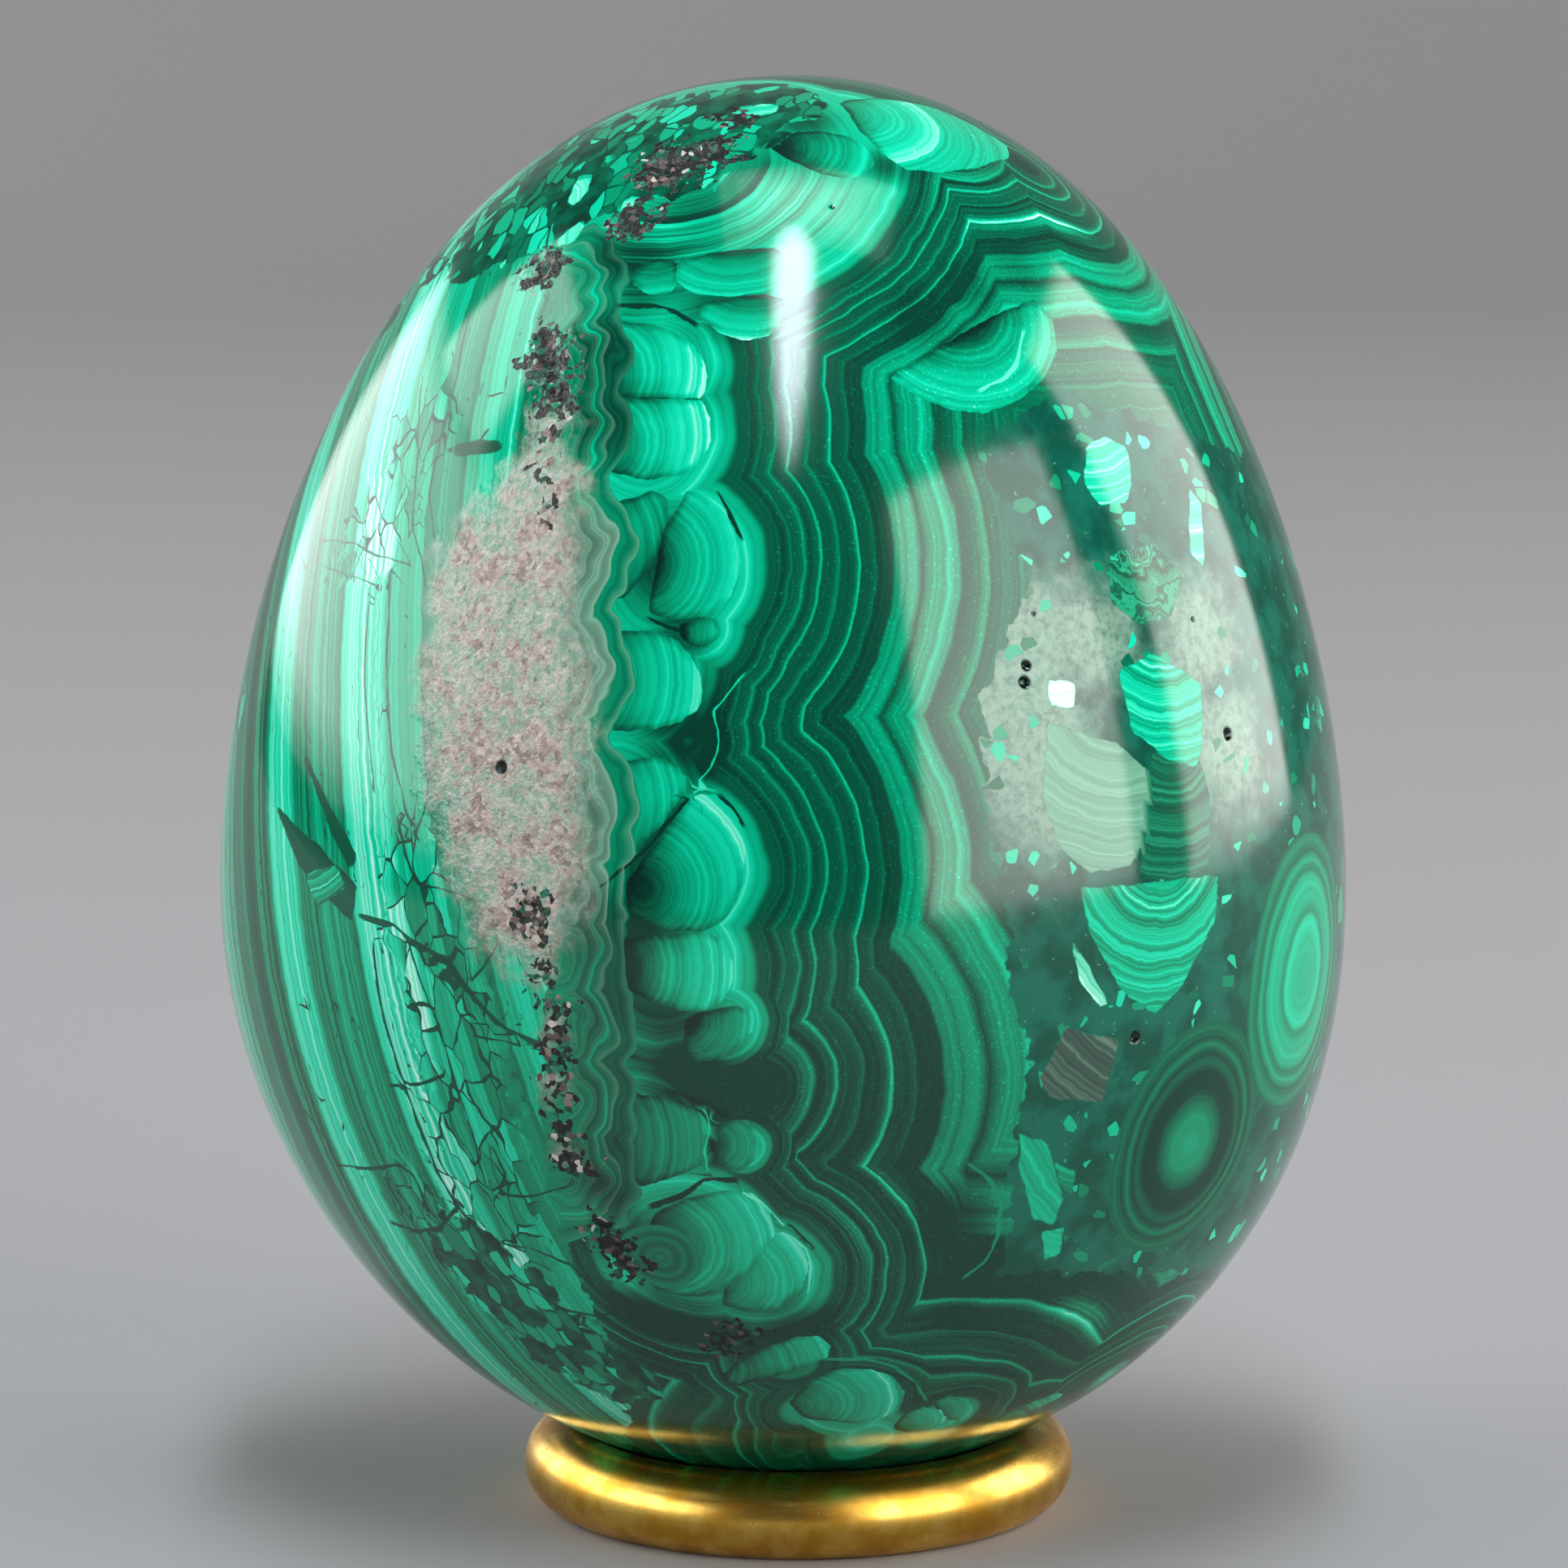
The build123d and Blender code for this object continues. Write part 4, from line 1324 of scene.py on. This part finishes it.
    def polish(self):
        """Clear polish on the pale bands, hazier on the dark ones, and rough crystals."""
        nodes = self.nodes
        open_grain = nodes.larger(self.seam, self.pocket)
        rough = nodes.step(self.tone, 0.40, 0.12, CLEAR_POLISH, HAZY_POLISH)
        rough = nodes.mix_value(open_grain, rough, CRYSTAL_ROUGHNESS)
        crumbs = nodes.noise(self.place, CRUMB_SCALE, 2.0, 0.6)
        facets = nodes.times_plus(self.crystal[1], 0.5, crumbs)
        normal = nodes.bump(nodes.times(facets, open_grain), 0.5, CRYSTAL_RELIEF)
        nodes.surface({"Base Color": self.colour, "Roughness": rough, "IOR": STONE_IOR, "Normal": normal})


def make_malachite(layout):
    stone = Stone(layout)
    stone.add_growth()
    stone.find_zones()
    stone.split_cells()
    stone.add_breccia()
    stone.add_slab()
    stone.add_broken_zones()
    stone.add_veins()
    stone.tint()
    stone.colour_matrix()
    stone.colour_seam()
    stone.colour_pockets()
    stone.polish()
    return stone.material


# Brass ring

BRASS_WARM = linear(207, 155, 54)
BRASS_PALE = linear(235, 193, 94)
BRASS_SPECK = linear(138, 94, 30)
BRASS_ROUGHNESS = 0.28
BRASS_PATCH_SCALE = 0.5
TURNING_SCALE = 7.0
SPECK_SCALE = 7.0
BRASS_RELIEF = 0.00004


def make_brass():
    """Satin brass with fine turning lines, pale and warm patches and small dark specks."""
    material = bpy.data.materials.new("worn_brass")
    nodes = Nodes(material)
    place = nodes.place()
    x, y, z = nodes.split(place)
    radius = nodes.vector("LENGTH", nodes.vector("MULTIPLY", place, (1, 1, 0)))
    turned = nodes.noise(nodes.join(radius, z, nodes.turn(x, y)), TURNING_SCALE)
    patches = nodes.step(nodes.noise(place, BRASS_PATCH_SCALE, 3.0), 0.35, 0.65)
    specks = nodes.step(nodes.noise(place, SPECK_SCALE, 1.0), 0.70, 0.80, 0.0, 0.8)
    colour = nodes.mix(specks, nodes.mix(patches, BRASS_WARM, BRASS_PALE), BRASS_SPECK)
    rough = nodes.times_plus(turned, 0.10, nodes.times_plus(patches, -0.06, BRASS_ROUGHNESS))
    rough = nodes.times_plus(specks, 0.15, rough)
    normal = nodes.bump(nodes.minus(nodes.times(turned, 0.08), specks), 0.25, BRASS_RELIEF)
    nodes.surface({"Base Color": colour, "Metallic": 1.0, "Roughness": rough, "Normal": normal})
    return material


def ring_mesh():
    """Round bar turned about the axis, flattened where it stands."""
    mesh = bmesh.new()
    upright = Matrix.Rotation(math.pi / 2, 4, "X")
    place = Matrix.Translation((RING_BAR_CENTRE, 0, RING_BAR_HEIGHT)) @ upright
    bmesh.ops.create_circle(mesh, segments=RING_BAR_SIDES, radius=RING_BAR_RADIUS, matrix=place)
    bmesh.ops.spin(
        mesh,
        geom=mesh.verts[:] + mesh.edges[:],
        axis=(0, 0, 1),
        cent=(0, 0, 0),
        angle=2 * math.pi,
        steps=RING_STEPS,
        use_merge=True,
    )
    for vertex in mesh.verts:
        vertex.co.z = max(0.0, vertex.co.z)
    bmesh.ops.remove_doubles(mesh, verts=mesh.verts[:], dist=1e-7)
    bmesh.ops.recalc_face_normals(mesh, faces=mesh.faces[:])
    return mesh


# Room

FLOOR_COLOUR = linear(152, 151, 153)
FLOOR_ROUGHNESS = 0.8
FLOOR_SHINE = 0.1
FLOOR_HALF_WIDTH = 2.0
FLOOR_FRONT = -2.0
FLOOR_BACK = 0.6
BACKDROP_BEND = 0.5
BACKDROP_BEND_STEPS = 24
BACKDROP_RISE = 1.5
ROOM_LIGHT = 0.06
LAMP_RADIANCE = 4.2
SOFT_LAYERS = 4
SOFT_STEP = 0.002
WHITE = (1.0, 1.0, 1.0)
WARM_DAYLIGHT = (1.0, 0.95, 0.92)
COOL_DAYLIGHT = (0.82, 0.93, 1.0)

# Lamps: centre, direction of the light, size, strength, and the share of the size that is fully lit
Lamp = namedtuple(
    "Lamp", "name centre facing width height strength inner colour shape", defaults=[WHITE, "RECTANGLE"]
)
LAMPS = (
    Lamp("left_window", (-0.6, 0.15, 0.235), (1, 0, 0), 1.80, 0.38, 0.86, 0.75),
    Lamp("left_upper_pane", (-0.6, 0.21, 0.585), (1, 0, 0), 0.44, 0.40, 0.90, 0.85),
    Lamp("right_window", (0.70, -0.54, 0.40), (-1, 1, 0), 0.78, 0.80, 1.10, 0.94, WARM_DAYLIGHT),
    Lamp("right_back_window", (0.6, 0.20, 0.305), (-1, 0, 0), 0.46, 0.63, 1.15, 0.90, WARM_DAYLIGHT),
    Lamp("ceiling_panel", (0.04, 0.06, 0.68), (0, 0, -1), 0.36, 0.27, 0.90, 0.40),
    Lamp("ceiling_strip", (0.01, -0.24, 0.68), (0, 0, -1), 0.11, 0.80, 5.8, 0.55, COOL_DAYLIGHT, "ELLIPSE"),
)


def floor_mesh():
    """Table top that turns up into a backdrop."""
    mesh = bmesh.new()
    near = mesh.verts.new((-FLOOR_HALF_WIDTH, FLOOR_FRONT, 0.0))
    far = mesh.verts.new((-FLOOR_HALF_WIDTH, FLOOR_BACK, 0.0))
    mesh.edges.new((near, far))
    bmesh.ops.spin(
        mesh,
        geom=[far],
        axis=(1, 0, 0),
        cent=(-FLOOR_HALF_WIDTH, FLOOR_BACK, BACKDROP_BEND),
        angle=math.pi / 2,
        steps=BACKDROP_BEND_STEPS,
    )
    top = max(mesh.verts, key=lambda vertex: vertex.co.z)
    lifted = bmesh.ops.extrude_vert_indiv(mesh, verts=[top])["verts"]
    bmesh.ops.translate(mesh, verts=lifted, vec=(0, 0, BACKDROP_RISE))
    swept = bmesh.ops.extrude_edge_only(mesh, edges=mesh.edges[:])["geom"]
    far_side = [part for part in swept if isinstance(part, bmesh.types.BMVert)]
    bmesh.ops.translate(mesh, verts=far_side, vec=(2 * FLOOR_HALF_WIDTH, 0, 0))
    bmesh.ops.recalc_face_normals(mesh, faces=mesh.faces[:])
    return mesh


def add_floor():
    material = bpy.data.materials.new("pale_table")
    inputs = {"Base Color": FLOOR_COLOUR, "Roughness": FLOOR_ROUGHNESS, "Specular IOR Level": FLOOR_SHINE}
    Nodes(material).surface(inputs)
    floor = new_object("table", floor_mesh(), material)


def add_lamp(lamp):
    """Softbox that fades to its edges, as lights close behind one another, each smaller than the last."""
    facing = Vector(lamp.facing)
    radiance = lamp.strength * LAMP_RADIANCE / SOFT_LAYERS
    for layer in range(SOFT_LAYERS):
        share = 1 - (1 - lamp.inner) * layer / (SOFT_LAYERS - 1)
        width = lamp.width * share
        height = lamp.height * share
        area = width * height * (math.pi / 4 if lamp.shape == "ELLIPSE" else 1.0)
        data = bpy.data.lights.new(lamp.name, "AREA")
        data.shape = lamp.shape
        data.size = width
        data.size_y = height
        data.energy = radiance * math.pi * area
        data.color = lamp.colour
        light = bpy.data.objects.new(lamp.name, data)
        light.location = Vector(lamp.centre) - facing.normalized() * (layer * SOFT_STEP)
        light.rotation_euler = facing.to_track_quat("-Z", "Y").to_euler()
        light.visible_camera = False
        bpy.context.scene.collection.objects.link(light)


def add_lights():
    for lamp in LAMPS:
        add_lamp(lamp)
    world = bpy.data.worlds.new("room")
    world.use_nodes = True
    background = world.node_tree.nodes["Background"]
    background.inputs["Color"].default_value = (*WHITE, 1.0)
    background.inputs["Strength"].default_value = ROOM_LIGHT
    bpy.context.scene.world = world


def main():
    add_camera()
    add_floor()
    add_lights()
    egg = egg_grid()
    layout = Layout(egg)
    carve_pits(egg, layout)
    stone = make_malachite(layout)
    piece = finish_piece("polished_egg", egg, stone, "malachite_egg", "malachite_egg")
    StoneFields(piece.data, layout).keep_all()
    finish_piece("brass_ring", ring_mesh(), make_brass(), "ring_stand", "ring_stand")
    bpy.context.scene.view_settings.view_transform = "Standard"


main()
